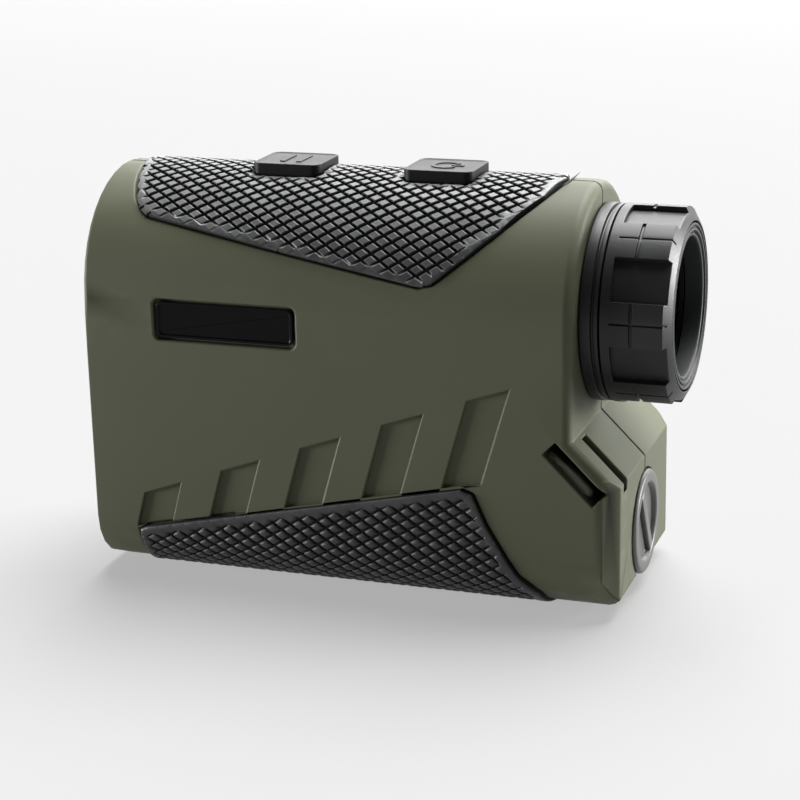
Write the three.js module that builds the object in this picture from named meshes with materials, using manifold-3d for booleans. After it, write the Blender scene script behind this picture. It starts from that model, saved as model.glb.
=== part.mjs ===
// A hand-held monocular laser rangefinder, modelled piece by piece in millimetres, +Z up.
// Inside this file X runs from the front rim (0) back to the eyecup (overallLength), Y = 0 is the
// seam between the two shells and Z = 0 is the table. The exported group is shifted along X so that
// its origin is the middle of the footprint.
import * as THREE from 'three';
import { mergeVertices } from 'three/addons/utils/BufferGeometryUtils.js';
import Module from 'manifold-3d';

// ---------------------------------------------------------------- driving dimensions
const overallLength = 104; // front rim to eyecup
const halfWidth = 20.8; // body is 41.6 wide and its arched top has the same radius
const opticalAxis = 51.2; // height of the viewing axis, and of the centre of the arched top
const lowerCorner = 10; // radius of the two bottom edges of the body
const gripProud = 0.6; // rubber stands this far out of the shell
const bodyFloor = gripProud; // the rubber underside touches the table, the shell does not
const wall = 2.2; // shell thickness
const gap = 0.3; // clearance between neighbouring pieces
const rearWall = 88.6; // rear face of the upper body
const tailEnd = 96.5; // rear face of the battery housing
const slopeTop = 31.9; // where the 45 degree slope leaves the upper rear wall
const slopeBottom = slopeTop - (tailEnd - rearWall);
const tailCorner = 3; // plan radius of the tail's upright edges
const frontLift = 1.6; // the underside rises this much at the front rim
const frontLiftEnd = 12;
const skin = 0.8; // depth of rubber sunk into the shell
const recessDepth = skin + gap;

const laserAxis = 22; // height of the laser's axis
const batteryAxis = 11.8;
const batteryRadius = 7.8;
const capRadius = 9.3;
const ringRadius = 17; // dioptre ring and its fixed collar
const pocketCount = 7; // finger pockets round the dioptre ring
const keyTop = 73.6;
const keyTravel = 0.8;
const keySize = { length: 12.6, width: 11.2, corner: 1.6 };
const keyPlaces = { mode: 33, power: 60.9 };
const focusTravel = 1.3; // lens cell travel each way

const ROOF_STEPS = 20; // straight steps that stand for the arched roof
const CORNER_STEPS = 5; // and for a rounded corner
const ROUND = 24; // sides of a small turned piece
const WIDE_ROUND = 36; // sides of the eyepiece rings

// ---------------------------------------------------------------- solids
const wasm = await Module();
wasm.setup();

function toSolid(geometry) {
  const bare = geometry.clone();
  bare.deleteAttribute('normal');
  bare.deleteAttribute('uv');
  const merged = mergeVertices(bare, 1e-4);
  const index = merged.index.array;
  const place = merged.attributes.position;
  const corners = [0, 1, 2].map(() => new THREE.Vector3());
  const kept = [];
  let volume = 0;
  for (let i = 0; i < index.length; i += 3) {
    const [a, b, c] = [index[i], index[i + 1], index[i + 2]];
    if (a === b || b === c || c === a) continue;
    kept.push(a, b, c);
    corners.forEach((corner, k) => corner.fromBufferAttribute(place, index[i + k]));
    volume += corners[0].dot(corners[1].cross(corners[2]));
  }
  if (volume < 0) kept.reverse();
  const vertProperties = new Float32Array(place.array);
  const triVerts = new Uint32Array(kept);
  return new wasm.Manifold(new wasm.Mesh({ numProp: 3, vertProperties, triVerts }));
}

const join = (...solids) => solids.reduce((sum, next) => sum.add(next));
const cut = (solid, ...tools) => tools.reduce((rest, tool) => rest.subtract(tool), solid);
const common = (...solids) => solids.reduce((rest, next) => rest.intersect(next));

// The three directions an outline is pushed along, and the axis a profile is turned about.
const X = new THREE.Vector3(1, 0, 0);
const Y = new THREE.Vector3(0, 1, 0);
const Z = new THREE.Vector3(0, 0, 1);
const yzOutline = new THREE.Matrix4().makeBasis(Y, Z, X);
const xzOutline = new THREE.Matrix4().makeBasis(X, Z, Y.clone().negate());
const lathedOnX = new THREE.Matrix4().makeBasis(Z, X, Y);
const lathedOnZ = new THREE.Matrix4().makeBasis(X, Z, Y.clone().negate());

// An outline is a list of [across, up] points, and arc gives the points of a round stretch of it.
function arc(across, up, radius, fromDegrees, toDegrees, steps = CORNER_STEPS) {
  return Array.from({ length: steps + 1 }, (_, i) => {
    const angle = THREE.MathUtils.degToRad(fromDegrees + ((toDegrees - fromDegrees) * i) / steps);
    return [across + radius * Math.cos(angle), up + radius * Math.sin(angle)];
  });
}

function extruded(outline, depth) {
  const shape = new THREE.Shape(outline.map(([a, b]) => new THREE.Vector2(a, b)));
  return new THREE.ExtrudeGeometry(shape, { depth, bevelEnabled: false });
}

function alongX(outline, from, to) {
  return toSolid(extruded(outline, to - from).applyMatrix4(yzOutline).translate(from, 0, 0));
}

function alongY(outline, from, to) {
  return toSolid(extruded(outline, to - from).applyMatrix4(xzOutline).translate(0, to, 0));
}

function alongZ(outline, from, to) {
  return toSolid(extruded(outline, to - from).translate(0, 0, from));
}

// A profile is a list of [distance along the axis, radius].
function turned(profile, basis, place, segments = ROUND) {
  const points = profile.map(([along, radius]) => new THREE.Vector2(radius, along));
  const geometry = new THREE.LatheGeometry(points, segments);
  return toSolid(geometry.applyMatrix4(basis).translate(...place));
}

const turnedOnX = (profile, z, segments) => turned(profile, lathedOnX, [0, 0, z], segments);
const turnedOnZ = (profile, x, y, segments) => turned(profile, lathedOnZ, [x, y, 0], segments);
const turnedOnY = (profile, x, z, segments) => turned(profile, new THREE.Matrix4(), [x, 0, z], segments);

const plug = (from, to, radius) => [[from, 0], [from, radius], [to, radius], [to, 0]];
const tube = (from, to, inner, outer) => [[from, inner], [from, outer], [to, outer], [to, inner],
  [from, inner]];

function box(x0, x1, y0, y1, z0, z1) {
  const geometry = new THREE.BoxGeometry(x1 - x0, y1 - y0, z1 - z0);
  return toSolid(geometry.translate((x0 + x1) / 2, (y0 + y1) / 2, (z0 + z1) / 2));
}

function roundedRectangle(x0, x1, y0, y1, radius) {
  return [
    ...arc(x1 - radius, y0 + radius, radius, -90, 0),
    ...arc(x1 - radius, y1 - radius, radius, 0, 90),
    ...arc(x0 + radius, y1 - radius, radius, 90, 180),
    ...arc(x0 + radius, y0 + radius, radius, 180, 270),
  ];
}

// ---------------------------------------------------------------- the scene
const finishes = {
  shell: { color: 0x7d7f66, roughness: 0.62, metalness: 0 },
  rubber: { color: 0x35373a, roughness: 0.7, metalness: 0 },
  black: { color: 0x1b1c1e, roughness: 0.45, metalness: 0 },
  plaque: { color: 0x08080a, roughness: 0.25, metalness: 0 },
  glass: { color: 0x9fc4cf, roughness: 0.05, metalness: 0 },
  metal: { color: 0xb9bbbd, roughness: 0.35, metalness: 1 },
  brass: { color: 0xc9a75a, roughness: 0.35, metalness: 1 },
  board: { color: 0x1e5a38, roughness: 0.5, metalness: 0 },
  chip: { color: 0x141414, roughness: 0.5, metalness: 0 },
  cap: { color: 0xa9aaa6, roughness: 0.4, metalness: 0 },
  battery: { color: 0x2c5f9e, roughness: 0.35, metalness: 0 },
};

const rangefinder = new THREE.Group();
rangefinder.position.x = -overallLength / 2;

function addPiece(name, solid, finish) {
  const { vertProperties, triVerts } = solid.getMesh();
  const geometry = new THREE.BufferGeometry();
  geometry.setAttribute('position', new THREE.BufferAttribute(vertProperties, 3));
  geometry.setIndex(new THREE.BufferAttribute(triVerts, 1));
  const piece = new THREE.Mesh(geometry, new THREE.MeshStandardMaterial(finishes[finish]));
  piece.name = name;
  rangefinder.add(piece);
}

// ---------------------------------------------------------------- the body's outer form
// inset > 0 is a form inside the shell's surface, inset < 0 one that stands proud of it.
function bodySection(inset) {
  const w = halfWidth - inset;
  const r = lowerCorner - inset;
  const floor = bodyFloor + inset;
  return [
    ...arc(w - r, floor + r, r, -90, 0),
    ...arc(0, opticalAxis, w, 0, 180, ROOF_STEPS),
    ...arc(r - w, floor + r, r, 180, 270),
  ];
}

function bodySide(inset, front) {
  const floor = bodyFloor + inset;
  const slopeShift = inset * Math.tan(Math.PI / 8);
  return [
    [front, floor + frontLift],
    [0, floor + frontLift],
    [frontLiftEnd / 4, floor + frontLift / 3],
    [frontLiftEnd, floor],
    [tailEnd - tailCorner, floor],
    [tailEnd - inset, floor + tailCorner - inset],
    [tailEnd - inset, slopeBottom - slopeShift],
    [rearWall - inset, slopeTop - slopeShift],
    [rearWall - inset, 2 * opticalAxis],
    [front, 2 * opticalAxis],
  ];
}

function bodyPlan(inset, front) {
  const beyond = 2 * halfWidth;
  const edge = halfWidth - inset;
  const back = tailEnd - inset;
  const corner = tailCorner - Math.max(inset, 0);
  return [[front, -beyond], [back - corner, -beyond], [back - corner, -edge], [back, corner - edge],
    [back, edge - corner], [back - corner, edge], [back - corner, beyond], [front, beyond]];
}

function bodyForm(inset, front = 0) {
  return common(
    alongX(bodySection(inset), front, tailEnd + 1),
    alongY(bodySide(inset, front), -halfWidth - 1, halfWidth + 1),
    alongZ(bodyPlan(inset, front), -1, 2 * opticalAxis),
  );
}

// Side-view outlines of the two rubber grips. Both wrap right round the body.
const topGripCorners = [[10.6, 65.3], [62, 56.7], [64.4, 57.2], [82.9, 72.1], [82.9, 80], [3.7, 80],
  [3.7, 72.4], [5.1, 71.2], [7.6, 67.6]];
const lowerGripCorners = [[8.5, -3], [8.5, 8.7], [10, 9.4], [69.4, 22.1], [71.4, 21.4], [73.8, 16.1],
  [79.2, 7.3], [82.4, 4.2], [86, -3]];

function grown(corners, by) {
  const middle = corners.reduce((sum, [x, z]) => sum.add(new THREE.Vector2(x, z)), new THREE.Vector2());
  middle.divideScalar(corners.length);
  return corners.map(([x, z], i) => {
    const before = corners[(i + corners.length - 1) % corners.length];
    const after = corners[(i + 1) % corners.length];
    const turn = new THREE.Vector2(after[0] - before[0], after[1] - before[1]).normalize();
    const away = new THREE.Vector2(turn.y, -turn.x);
    if (away.dot(new THREE.Vector2(x, z).sub(middle)) < 0) away.negate();
    return [x + by * away.x, z + by * away.y];
  });
}

const across = (corners) => alongY(corners, -halfWidth - 2, halfWidth + 2);

// A rectangle over one push button, grown by a clearance and pushed through the roof.
function keyBlock(middle, clearance, from, to) {
  const { length, width, corner } = keySize;
  const halfLength = length / 2 + clearance;
  const halfSpan = width / 2 + clearance;
  const shape = roundedRectangle(middle - halfLength, middle + halfLength, -halfSpan, halfSpan, corner);
  return alongZ(shape, from, to);
}

const roofBelow = 66;
const roofAbove = 80;
const keyOpenings = Object.values(keyPlaces).map((x) => keyBlock(x, gap, roofBelow, roofAbove));

const proudForm = bodyForm(-gripProud, -1);
const sunkForm = bodyForm(skin, -1);
const rubberLayer = cut(proudForm, sunkForm);
addPiece('top_grip', cut(common(rubberLayer, across(topGripCorners)), ...keyOpenings), 'rubber');
addPiece('lower_grip', common(rubberLayer, across(lowerGripCorners)), 'rubber');

// ---------------------------------------------------------------- shells
const lensHole = { eyepiece: 14, cap: batteryRadius + 0.35, capSeat: capRadius + gap };
const capSeatDepth = 1.8;
const badge = { x0: 13.4, x1: 40, z0: 44.5, z1: 51.9, corner: 1.2, rim: 0.5, floor: 1.4, face: 0.15 };

function gripRecess(corners) {
  const outside = cut(bodyForm(-1, -1), bodyForm(recessDepth, -1));
  return common(outside, across(grown(corners, gap)));
}

// Five slanted recesses along the side, each higher than the one in front of it.
function gillCutters(side) {
  const pitch = 14.5;
  const width = 6.9;
  const lean = 0.29;
  const depth = 0.9;
  const highSlope = 0.364;
  const overrun = 1.1; // the rear edge leans a little further than the front one
  const lowLine = (x) => 9.2 + 0.218 * (x - 8);
  const highLine = (x) => 15.5 + highSlope * (x - 9.4);
  const cutters = [];
  for (let i = 0; i < 5; i += 1) {
    const x = 8 + pitch * i;
    const rise = (highLine(x) - lowLine(x)) / (1 - highSlope * lean);
    const reach = rise * lean;
    const topOf = (start) => highLine(start + reach);
    const corners = [[x, lowLine(x)], [x + width, lowLine(x + width)],
      [x + width + reach * overrun, topOf(x + width)], [x + reach, topOf(x)]];
    const [near, far] = [halfWidth - depth, halfWidth + 1];
    cutters.push(side < 0 ? alongY(corners, -far, -near) : alongY(corners, near, far));
  }
  return cutters;
}

function badgeBlock(side, margin, from, to) {
  const { x0, x1, z0, z1, corner } = badge;
  const shape = roundedRectangle(x0 + margin, x1 - margin, z0 + margin, z1 - margin, corner - margin / 2);
  const near = halfWidth - from;
  const far = halfWidth - to;
  return side < 0 ? alongY(shape, -far, -near) : alongY(shape, near, far);
}

// The lanyard passage: a slot in the left flank and one in the slope meet behind a bar.
const strap = { bar: 2, height: 3, width: 2.4, inner: -13, flankStart: 38.2, slopeStart: 41, end: 50.4 };

function strapPassage() {
  const slopeLevel = (rearWall + slopeTop) / Math.SQRT2;
  const under = slopeLevel - strap.bar;
  const lowest = under - strap.height;
  const alongSlope = (along, up) => [(up + along) / Math.SQRT2, (up - along) / Math.SQRT2];
  const channel = (start, end, low, high) => [alongSlope(start, low), alongSlope(end, low),
    alongSlope(end, high), alongSlope(start, high)];
  const flank = alongY(channel(strap.flankStart, strap.end, lowest, under), -halfWidth - 1, strap.inner);
  const slopeEnd = strap.end + 2;
  const stagger = 0.2; // keeps the two channels' faces out of one plane
  const inner = strap.inner - stagger;
  const slopeOutline = channel(strap.slopeStart, slopeEnd, lowest + stagger, slopeLevel + 1);
  return join(flank, alongY(slopeOutline, inner - strap.width, inner));
}

function strapPocketWalls() {
  const corners = [[80, 31], [80, 22], [90, 15.5], [tailEnd, 15.5], [tailEnd, 40], [85, 40]];
  return common(alongY(corners, -halfWidth, strap.inner + 1.6), bodyForm(gap));
}

// Case screws run across the body from under the grips: [x, z, how far out the head's top is].
const caseScrews = [[66, 62.3, 14.2], [19.5, 7.6, 17.4], [52, 9, 17.4]];
const screw = { head: 2, headHeight: 1.4, shank: 0.9, tip: -9, boss: 2.4 };
const ribs = [
  { x: 14, holes: [[opticalAxis, 13.3], [laserAxis, 9.5]] },
  { x: 72, holes: [[batteryAxis, 8.95]] },
];
const ribThickness = 1.6;

function shellBlank() {
  const inside = bodyForm(wall, -1);
  const skinBody = cut(bodyForm(0), inside);
  const bosses = caseScrews.map(([x, z]) => common(
    turnedOnY(plug(-halfWidth, halfWidth, screw.boss), x, z, 16), bodyForm(gap)));
  const capBoss = common(turnedOnX(plug(92.3, tailEnd - gap, 10.4), batteryAxis), bodyForm(gap));
  const ribForm = bodyForm(wall / 2, -1);
  const upper = common(ribForm, box(ribs[0].x, ribs[0].x + ribThickness, -30, 30, 0, 90));
  const lower = common(ribForm, box(ribs[1].x, ribs[1].x + ribThickness, -30, 30, 0, 24));
  const ribHoles = ribs.map(({ holes }) => holes.map(([z, r]) => turnedOnX(plug(0, rearWall, r), z)));
  const ribPlates = [upper, lower].map((plate, i) => cut(plate, ...ribHoles[i]));
  return join(skinBody, ...bosses, capBoss, ...ribPlates);
}

function shellCutters() {
  const stemOpening = (x) => box(x - 4.3, x + 4.3, -2.8, 2.8, 60, 80);
  return [
    gripRecess(topGripCorners), gripRecess(lowerGripCorners),
    ...Object.values(keyPlaces).map(stemOpening),
    turnedOnX(plug(rearWall - 6, rearWall + 6, lensHole.eyepiece), opticalAxis, WIDE_ROUND),
    turnedOnX(plug(85, 110, lensHole.cap), batteryAxis),
    turnedOnX(plug(tailEnd - capSeatDepth - 0.1, 110, lensHole.capSeat), batteryAxis),
  ];
}

function screwCutters(side) {
  return caseScrews.flatMap(([x, z, headTop]) => {
    const seat = headTop - screw.headHeight - gap;
    const hole = plug(side < 0 ? screw.tip - gap : -1, halfWidth, screw.shank + gap);
    const headHole = plug(seat, halfWidth + 1, screw.head + gap);
    const profiles = side < 0 ? [hole] : [hole, headHole];
    return profiles.map((profile) => turnedOnY(profile, x, z, 16));
  });
}

const blank = shellBlank();
const leftHalf = box(-5, 120, -40, -gap / 2, -5, 120);
const rightHalf = box(-5, 120, gap / 2, 40, -5, 120);
const leftBlank = join(blank, strapPocketWalls());
addPiece('left_shell', cut(common(leftBlank, leftHalf), ...shellCutters(), strapPassage(),
  ...gillCutters(-1), badgeBlock(-1, 0, badge.floor, -1), ...screwCutters(-1)), 'shell');
addPiece('right_shell', cut(common(blank, rightHalf), ...shellCutters(),
  ...gillCutters(1), badgeBlock(1, 0, badge.floor, -1), ...screwCutters(1)), 'shell');
addPiece('left_badge', badgeBlock(-1, badge.rim, badge.floor - gap, badge.face), 'plaque');
addPiece('right_badge', badgeBlock(1, badge.rim, badge.floor - gap, badge.face), 'plaque');

caseScrews.forEach(([x, z, headTop], i) => {
  const { head, shank, headHeight, tip } = screw;
  const headFloor = headTop - headHeight;
  const driver = box(x - 1.1, x + 1.1, headTop - 0.6, headTop + 1, z - 0.25, z + 0.25);
  const profile = [[tip, 0], [tip, shank], [headFloor, shank], [headFloor, head], [headTop, head],
    [headTop, 0]];
  addPiece(`case_screw_${i + 1}`, cut(turnedOnY(profile, x, z, 12), driver), 'metal');
});

// ---------------------------------------------------------------- front plate and optics
const objective = { opening: 12.4, outer: 13, inner: 11.9, lens: 11.6 };
const emitter = { opening: 8.7, outer: 9.2, inner: 8.3, lens: 8 };

const plate = common(bodyForm(wall + gap, -1), box(1.4, 4.4, -30, 30, 0, 90));
const flare = (radius) => [[0, 0], [0, radius + 2.2], [1.4, radius + 1.4], [2.8, radius], [6, radius],
  [6, 0]];
addPiece('front_bezel', cut(plate, turnedOnX(flare(objective.opening), opticalAxis, WIDE_ROUND),
  turnedOnX(flare(emitter.opening), laserAxis, WIDE_ROUND)), 'black');

// A lens is a disc with two spherical faces of the given sags.
function lens(x0, x1, radius, frontSag, rearSag, z) {
  const steps = 3;
  const profile = [];
  for (let i = 0; i <= steps; i += 1) {
    const r = (radius * i) / steps;
    profile.push([x0 + frontSag * (r / radius) ** 2, r]);
  }
  for (let i = steps; i >= 0; i -= 1) {
    const r = (radius * i) / steps;
    profile.push([x1 - rearSag * (r / radius) ** 2, r]);
  }
  return turnedOnX(profile, z);
}

function lensTube(from, to, seat, { inner, outer }, z) {
  const ledge = inner - 1.2;
  const profile = [[from, inner], [from, outer], [to, outer], [to, inner], [seat + 1, inner],
    [seat + 1, ledge], [seat, ledge], [seat, inner], [from, inner]];
  return turnedOnX(profile, z);
}

addPiece('objective_cell', lensTube(4.8, 26, 11.5, objective, opticalAxis), 'black');
addPiece('objective_lens', lens(6.8, 11.2, objective.lens, 1.4, 0.4, opticalAxis), 'glass');
const objectiveRetainer = tube(6, 7.6, objective.lens - 1, objective.lens);
addPiece('objective_retainer', turnedOnX(objectiveRetainer, opticalAxis), 'black');
addPiece('emitter_tube', lensTube(4.8, 30, 10.5, emitter, laserAxis), 'black');
addPiece('emitter_lens', lens(6.8, 10.2, emitter.lens, 1.1, 0.2, laserAxis), 'glass');
addPiece('emitter_retainer', turnedOnX(tube(6, 7.4, emitter.lens - 0.8, emitter.lens), laserAxis), 'black');
const diodeProfile = [[25.5, 0], [25.5, 2.3], [28.6, 2.3], [28.6, 2.9], [30, 2.9], [30, 1], [32, 1], [32, 0]];
addPiece('laser_diode', turnedOnX(diodeProfile, laserAxis, 20), 'metal');
addPiece('laser_board', box(32.4, 33.6, -8, 8, laserAxis - 8, laserAxis + 8), 'board');

// ---------------------------------------------------------------- image-erecting prisms
const prismStart = 34;
const prismHalfWidth = 8;
const prismWall = 1.4;

function prismBlock(corners) {
  const placed = corners.map(([x, z]) => [prismStart + x, opticalAxis + z]);
  return alongY(placed, -prismHalfWidth, prismHalfWidth);
}

addPiece('half_penta_prism', prismBlock([[0, 8], [0, -8], [5, -10.4], [18.4, -10.4]]), 'glass');
addPiece('roof_prism', prismBlock([[-1.6, 10.6], [20.5, -11.5], [20.5, 8], [7, 12.6]]), 'glass');

const holderFloor = opticalAxis - 12;
const holderEnds = [prismStart - 3.4, prismStart + 23.2];
const holderBase = box(holderEnds[0], holderEnds[1], -10, 10, holderFloor - prismWall, holderFloor);
const holderPlates = holderEnds.map((x, i) => box(i ? x - prismWall : x, i ? x : x + prismWall, -10, 10,
  holderFloor - prismWall, opticalAxis + 10));
const lightPath = turnedOnX(plug(0, 80, 7), opticalAxis);
addPiece('prism_holder', cut(join(holderBase, ...holderPlates), lightPath), 'metal');
const clipFloor = opticalAxis + 12.9;
addPiece('prism_clip', box(prismStart + 4, prismStart + 12, -9.4, 9.4, clipFloor, clipFloor + 0.5), 'metal');

const receiver = { x: 45, board: holderFloor - prismWall - 7 };
const receiverDiode = plug(receiver.board + gap, holderFloor - prismWall - gap, 4);
addPiece('receiver_diode', turnedOnZ(receiverDiode, receiver.x, 0, 20), 'metal');
const receiverBoard = box(receiver.x - 8, receiver.x + 8, -8, 8, receiver.board - 1, receiver.board);
addPiece('receiver_board', receiverBoard, 'board');

const displayAt = 62;
const frameBody = box(displayAt - 1.6, displayAt + 1.6, -9.5, 9.5, opticalAxis - 9.5, opticalAxis + 7.5);
const frameWindow = box(displayAt - 3, displayAt + 3, -6.5, 6.5, opticalAxis - 6.5, opticalAxis + 6.5);
const framePocket = box(displayAt - 0.7, displayAt + 3, -8.3, 8.3, opticalAxis - 8.3, opticalAxis + 6.9);
addPiece('display_frame', cut(frameBody, frameWindow, framePocket), 'black');
addPiece('display', box(displayAt - 0.4, displayAt + 1, -8, 8, opticalAxis - 8, opticalAxis + 6.6), 'glass');

// ---------------------------------------------------------------- electronics
const boardFace = 14;
const boardThickness = 1.2;
const boardBack = boardFace + boardThickness;
const mainBoard = { x0: 36, x1: 84, z0: 24, z1: 45 };
const boardScrews = [[39, 42], [81, 27]];
const boardBlank = box(mainBoard.x0, mainBoard.x1, boardFace, boardBack, mainBoard.z0, mainBoard.z1);
const boardHoles = boardScrews.map(([x, z]) => turnedOnY(plug(boardFace - 2, boardBack + 2, 1.1), x, z, 12));
addPiece('main_board', cut(boardBlank, ...boardHoles), 'board');
boardScrews.forEach(([x, z], i) => {
  const profile = [[boardFace - 1.5, 0], [boardFace - 1.5, 1.8], [boardFace - gap, 1.8],
    [boardFace - gap, 0.8], [boardBack + 2.4, 0.8], [boardBack + 2.4, 0]];
  addPiece(`board_screw_${i + 1}`, turnedOnY(profile, x, z, 12), 'metal');
});
addPiece('processor_chip', box(66, 75, boardFace - 1.5, boardFace - gap, 32, 41), 'chip');
addPiece('shield_can', box(50, 63, boardFace - 3, boardFace - gap, 26.5, 40), 'metal');
addPiece('board_connector', box(42, 48, boardFace - 2.6, boardFace - gap, 27, 31), 'black');

// A flat ribbon drops from the display, runs out to the board and turns up against its face.
const ribbon = [[3, 41.2], [3, 36], [12.6, 36], [12.6, 42], [12.3, 42], [12.3, 36.3],
  [3.3, 36.3], [3.3, 41.2]];
addPiece('display_ribbon', alongX(ribbon, displayAt + 1.7, displayAt + 3.7), 'brass');

const keyBoardTop = 67;
addPiece('key_board', box(27, 67, -6, 6, keyBoardTop - 1, keyBoardTop), 'board');
Object.entries(keyPlaces).forEach(([name, x]) => {
  const body = box(x - 2.6, x + 2.6, -2.6, 2.6, keyBoardTop + gap, 68.5);
  const plunger = turnedOnZ(plug(68, 69, 1.3), x, 0, 16);
  addPiece(`${name}_switch`, join(body, plunger), 'chip');

  const roof = turnedOnX(plug(0, rearWall, halfWidth), opticalAxis, 4 * ROOF_STEPS);
  const cap = cut(keyBlock(x, 0, roofBelow, keyTop), roof);
  const stem = box(x - 4, x + 4, -2.5, 2.5, 69.3 + keyTravel, keyTop - 0.8);
  addPiece(`${name}_button`, join(cap, stem), 'rubber');
});

// ---------------------------------------------------------------- battery bay
const batteryEnds = [62.6, 90.2];
const batteryShoulder = batteryEnds[1] - 1.6;
const batteryPole = 3.2;
const sleeve = { inner: batteryRadius + gap, outer: 8.65, from: 57, to: 92 };
const sleeveProfile = [[sleeve.from, 0], [sleeve.from, sleeve.outer], [sleeve.to, sleeve.outer],
  [sleeve.to, sleeve.inner], [sleeve.from + 1, sleeve.inner], [sleeve.from + 1, 0]];
addPiece('battery_sleeve', turnedOnX(sleeveProfile, batteryAxis), 'chip');
addPiece('battery', turnedOnX([[batteryEnds[0], 0], [batteryEnds[0], batteryRadius],
  [batteryShoulder, batteryRadius], [batteryShoulder, batteryPole], [batteryEnds[1], batteryPole],
  [batteryEnds[1], 0]], batteryAxis), 'battery');

// The coil spring that pushes the battery back against the cap.
class Coil extends THREE.Curve {
  getPoint(t) {
    const turns = 3.5;
    const radius = 5 - 1.4 * t;
    const angle = 2 * Math.PI * turns * t;
    const start = sleeve.from + 1.8;
    const length = batteryEnds[0] - start - 0.8;
    const height = batteryAxis + radius * Math.sin(angle);
    return new THREE.Vector3(start + length * t, radius * Math.cos(angle), height);
  }
}
const wire = new THREE.Shape().absarc(0, 0, 0.35, 0, 2 * Math.PI);
const coiling = { steps: 42, curveSegments: 3, bevelEnabled: false, extrudePath: new Coil() };
addPiece('battery_spring', toSolid(new THREE.ExtrudeGeometry(wire, coiling)), 'metal');

const contactProfile = [[90.5, 0], [90.5, 5.2], [91, 5.2], [91.3, 6.2], [91.3, 0]];
addPiece('cap_contact', turnedOnX(contactProfile, batteryAxis, 24), 'brass');

// The screw cap: a plug in the sleeve's mouth, a broad flange, and a dish with a bar to turn it by.
const cap = { plugEnd: 91.6, flange: 95, back: 97.2, plugRadius: 7.7, dish: 6.9, dishDepth: 0.9 };
const capBody = turnedOnX([[cap.plugEnd, 0], [cap.plugEnd, cap.plugRadius], [cap.flange, cap.plugRadius],
  [cap.flange, capRadius], [cap.back - 0.4, capRadius], [cap.back, capRadius - 0.4], [cap.back, cap.dish],
  [cap.back - cap.dishDepth, cap.dish - 0.3], [cap.back - cap.dishDepth, 0]], batteryAxis, WIDE_ROUND);
const barThickness = cap.dishDepth + 0.3;
const barMiddle = cap.back - 0.1 - barThickness / 2;
const bar = toSolid(new THREE.BoxGeometry(barThickness, 2, 3 * cap.dish).rotateX(Math.PI / 6)
  .translate(barMiddle, 0, batteryAxis));
const dishReach = turnedOnX(plug(90, 100, cap.dish + 0.2), batteryAxis, WIDE_ROUND);
addPiece('battery_cap', join(capBody, common(bar, dishReach)), 'cap');
addPiece('cap_seal', turnedOnX(tube(94.05, 94.7, 7.75 + gap / 3, 8.05), batteryAxis), 'rubber');

// ---------------------------------------------------------------- eyepiece
const barrel = { inner: 12.4, outer: 13.7, lip: 14.6, front: 80, end: 99 };
const collar = { front: rearWall + gap, groove: 91, back: 92 };
const barrelBody = turnedOnX([
  [barrel.front, barrel.inner], [barrel.front, barrel.outer], [84.4, barrel.outer], [84.4, 15.2], [86, 15.2],
  [86, barrel.outer], [collar.front, barrel.outer], [collar.front, ringRadius],
  [collar.groove - 0.2, ringRadius], [collar.groove - 0.2, ringRadius - 0.6],
  [collar.groove + 0.2, ringRadius - 0.6], [collar.groove + 0.2, ringRadius],
  [collar.back, ringRadius], [collar.back, barrel.outer], [98.2, barrel.outer], [98.2, barrel.lip],
  [barrel.end, barrel.lip], [barrel.end, barrel.inner], [barrel.front, barrel.inner]],
opticalAxis, WIDE_ROUND);
const pin = { x: 95, radius: 0.8, reach: 14.6 };
const pinReach = pin.radius + focusTravel + gap;
const pinSide = pin.radius + gap;
const pinSlot = box(pin.x - pinReach, pin.x + pinReach, -pinSide, pinSide,
  opticalAxis - 16, opticalAxis - 10);
addPiece('eyepiece_barrel', cut(barrelBody, pinSlot), 'black');

const cell = { inner: 10.6, outer: 12.1, front: 82.5, end: 97 };
const cellBody = turnedOnX([[cell.front, cell.inner], [cell.front, cell.outer], [cell.end, cell.outer],
  [cell.end, cell.inner], [92.6, cell.inner], [92.6, 9.4], [91.6, 9.4], [91.6, cell.inner],
  [89.2, cell.inner],
  [89.2, 9.4], [88.2, 9.4], [88.2, cell.inner], [cell.front, cell.inner]], opticalAxis, WIDE_ROUND);
const pinHole = plug(opticalAxis - 16, opticalAxis - cell.inner - 0.4, pin.radius + 0.05);
const camPin = plug(opticalAxis - pin.reach, opticalAxis - 12.4, pin.radius);
addPiece('lens_cell', cut(cellBody, turnedOnZ(pinHole, pin.x, 0, 12)), 'black');
addPiece('cam_pin', turnedOnZ(camPin, pin.x, 0, 12), 'metal');
addPiece('field_lens', lens(84, 87.9, 10.3, 0.8, 1, opticalAxis), 'glass');
addPiece('eye_lens', lens(92.9, 96, 10.3, 0.5, 1.1, opticalAxis), 'glass');
addPiece('cell_retainer', turnedOnX(tube(95.3, 96.8, 9.5, 10.3), opticalAxis), 'black');

const firstPad = 53; // degrees round from the seam's left-hand side to the first pad
const ring = { front: 92.3, pocketStart: 93.9, chamferStart: 102.8, inner: 14, groove: 15, eyecupBore: 14.5,
  eyecupFloor: 100.2 };
const ringBody = turnedOnX([
  [ring.front, ring.inner], [ring.front, ringRadius], [ring.chamferStart, ringRadius],
  [overallLength, ring.eyecupBore + 0.3], [overallLength, ring.eyecupBore],
  [ring.eyecupFloor, ring.eyecupBore],
  [ring.eyecupFloor, 12.6], [99.3, 12.6], [99.3, 14.9], [97.9, 14.9], [97.9, ring.inner], [97.3, ring.inner],
  [97.3, ring.groove], [92.8, ring.groove], [92.8, ring.inner], [ring.front, ring.inner]],
opticalAxis, WIDE_ROUND);

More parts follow.
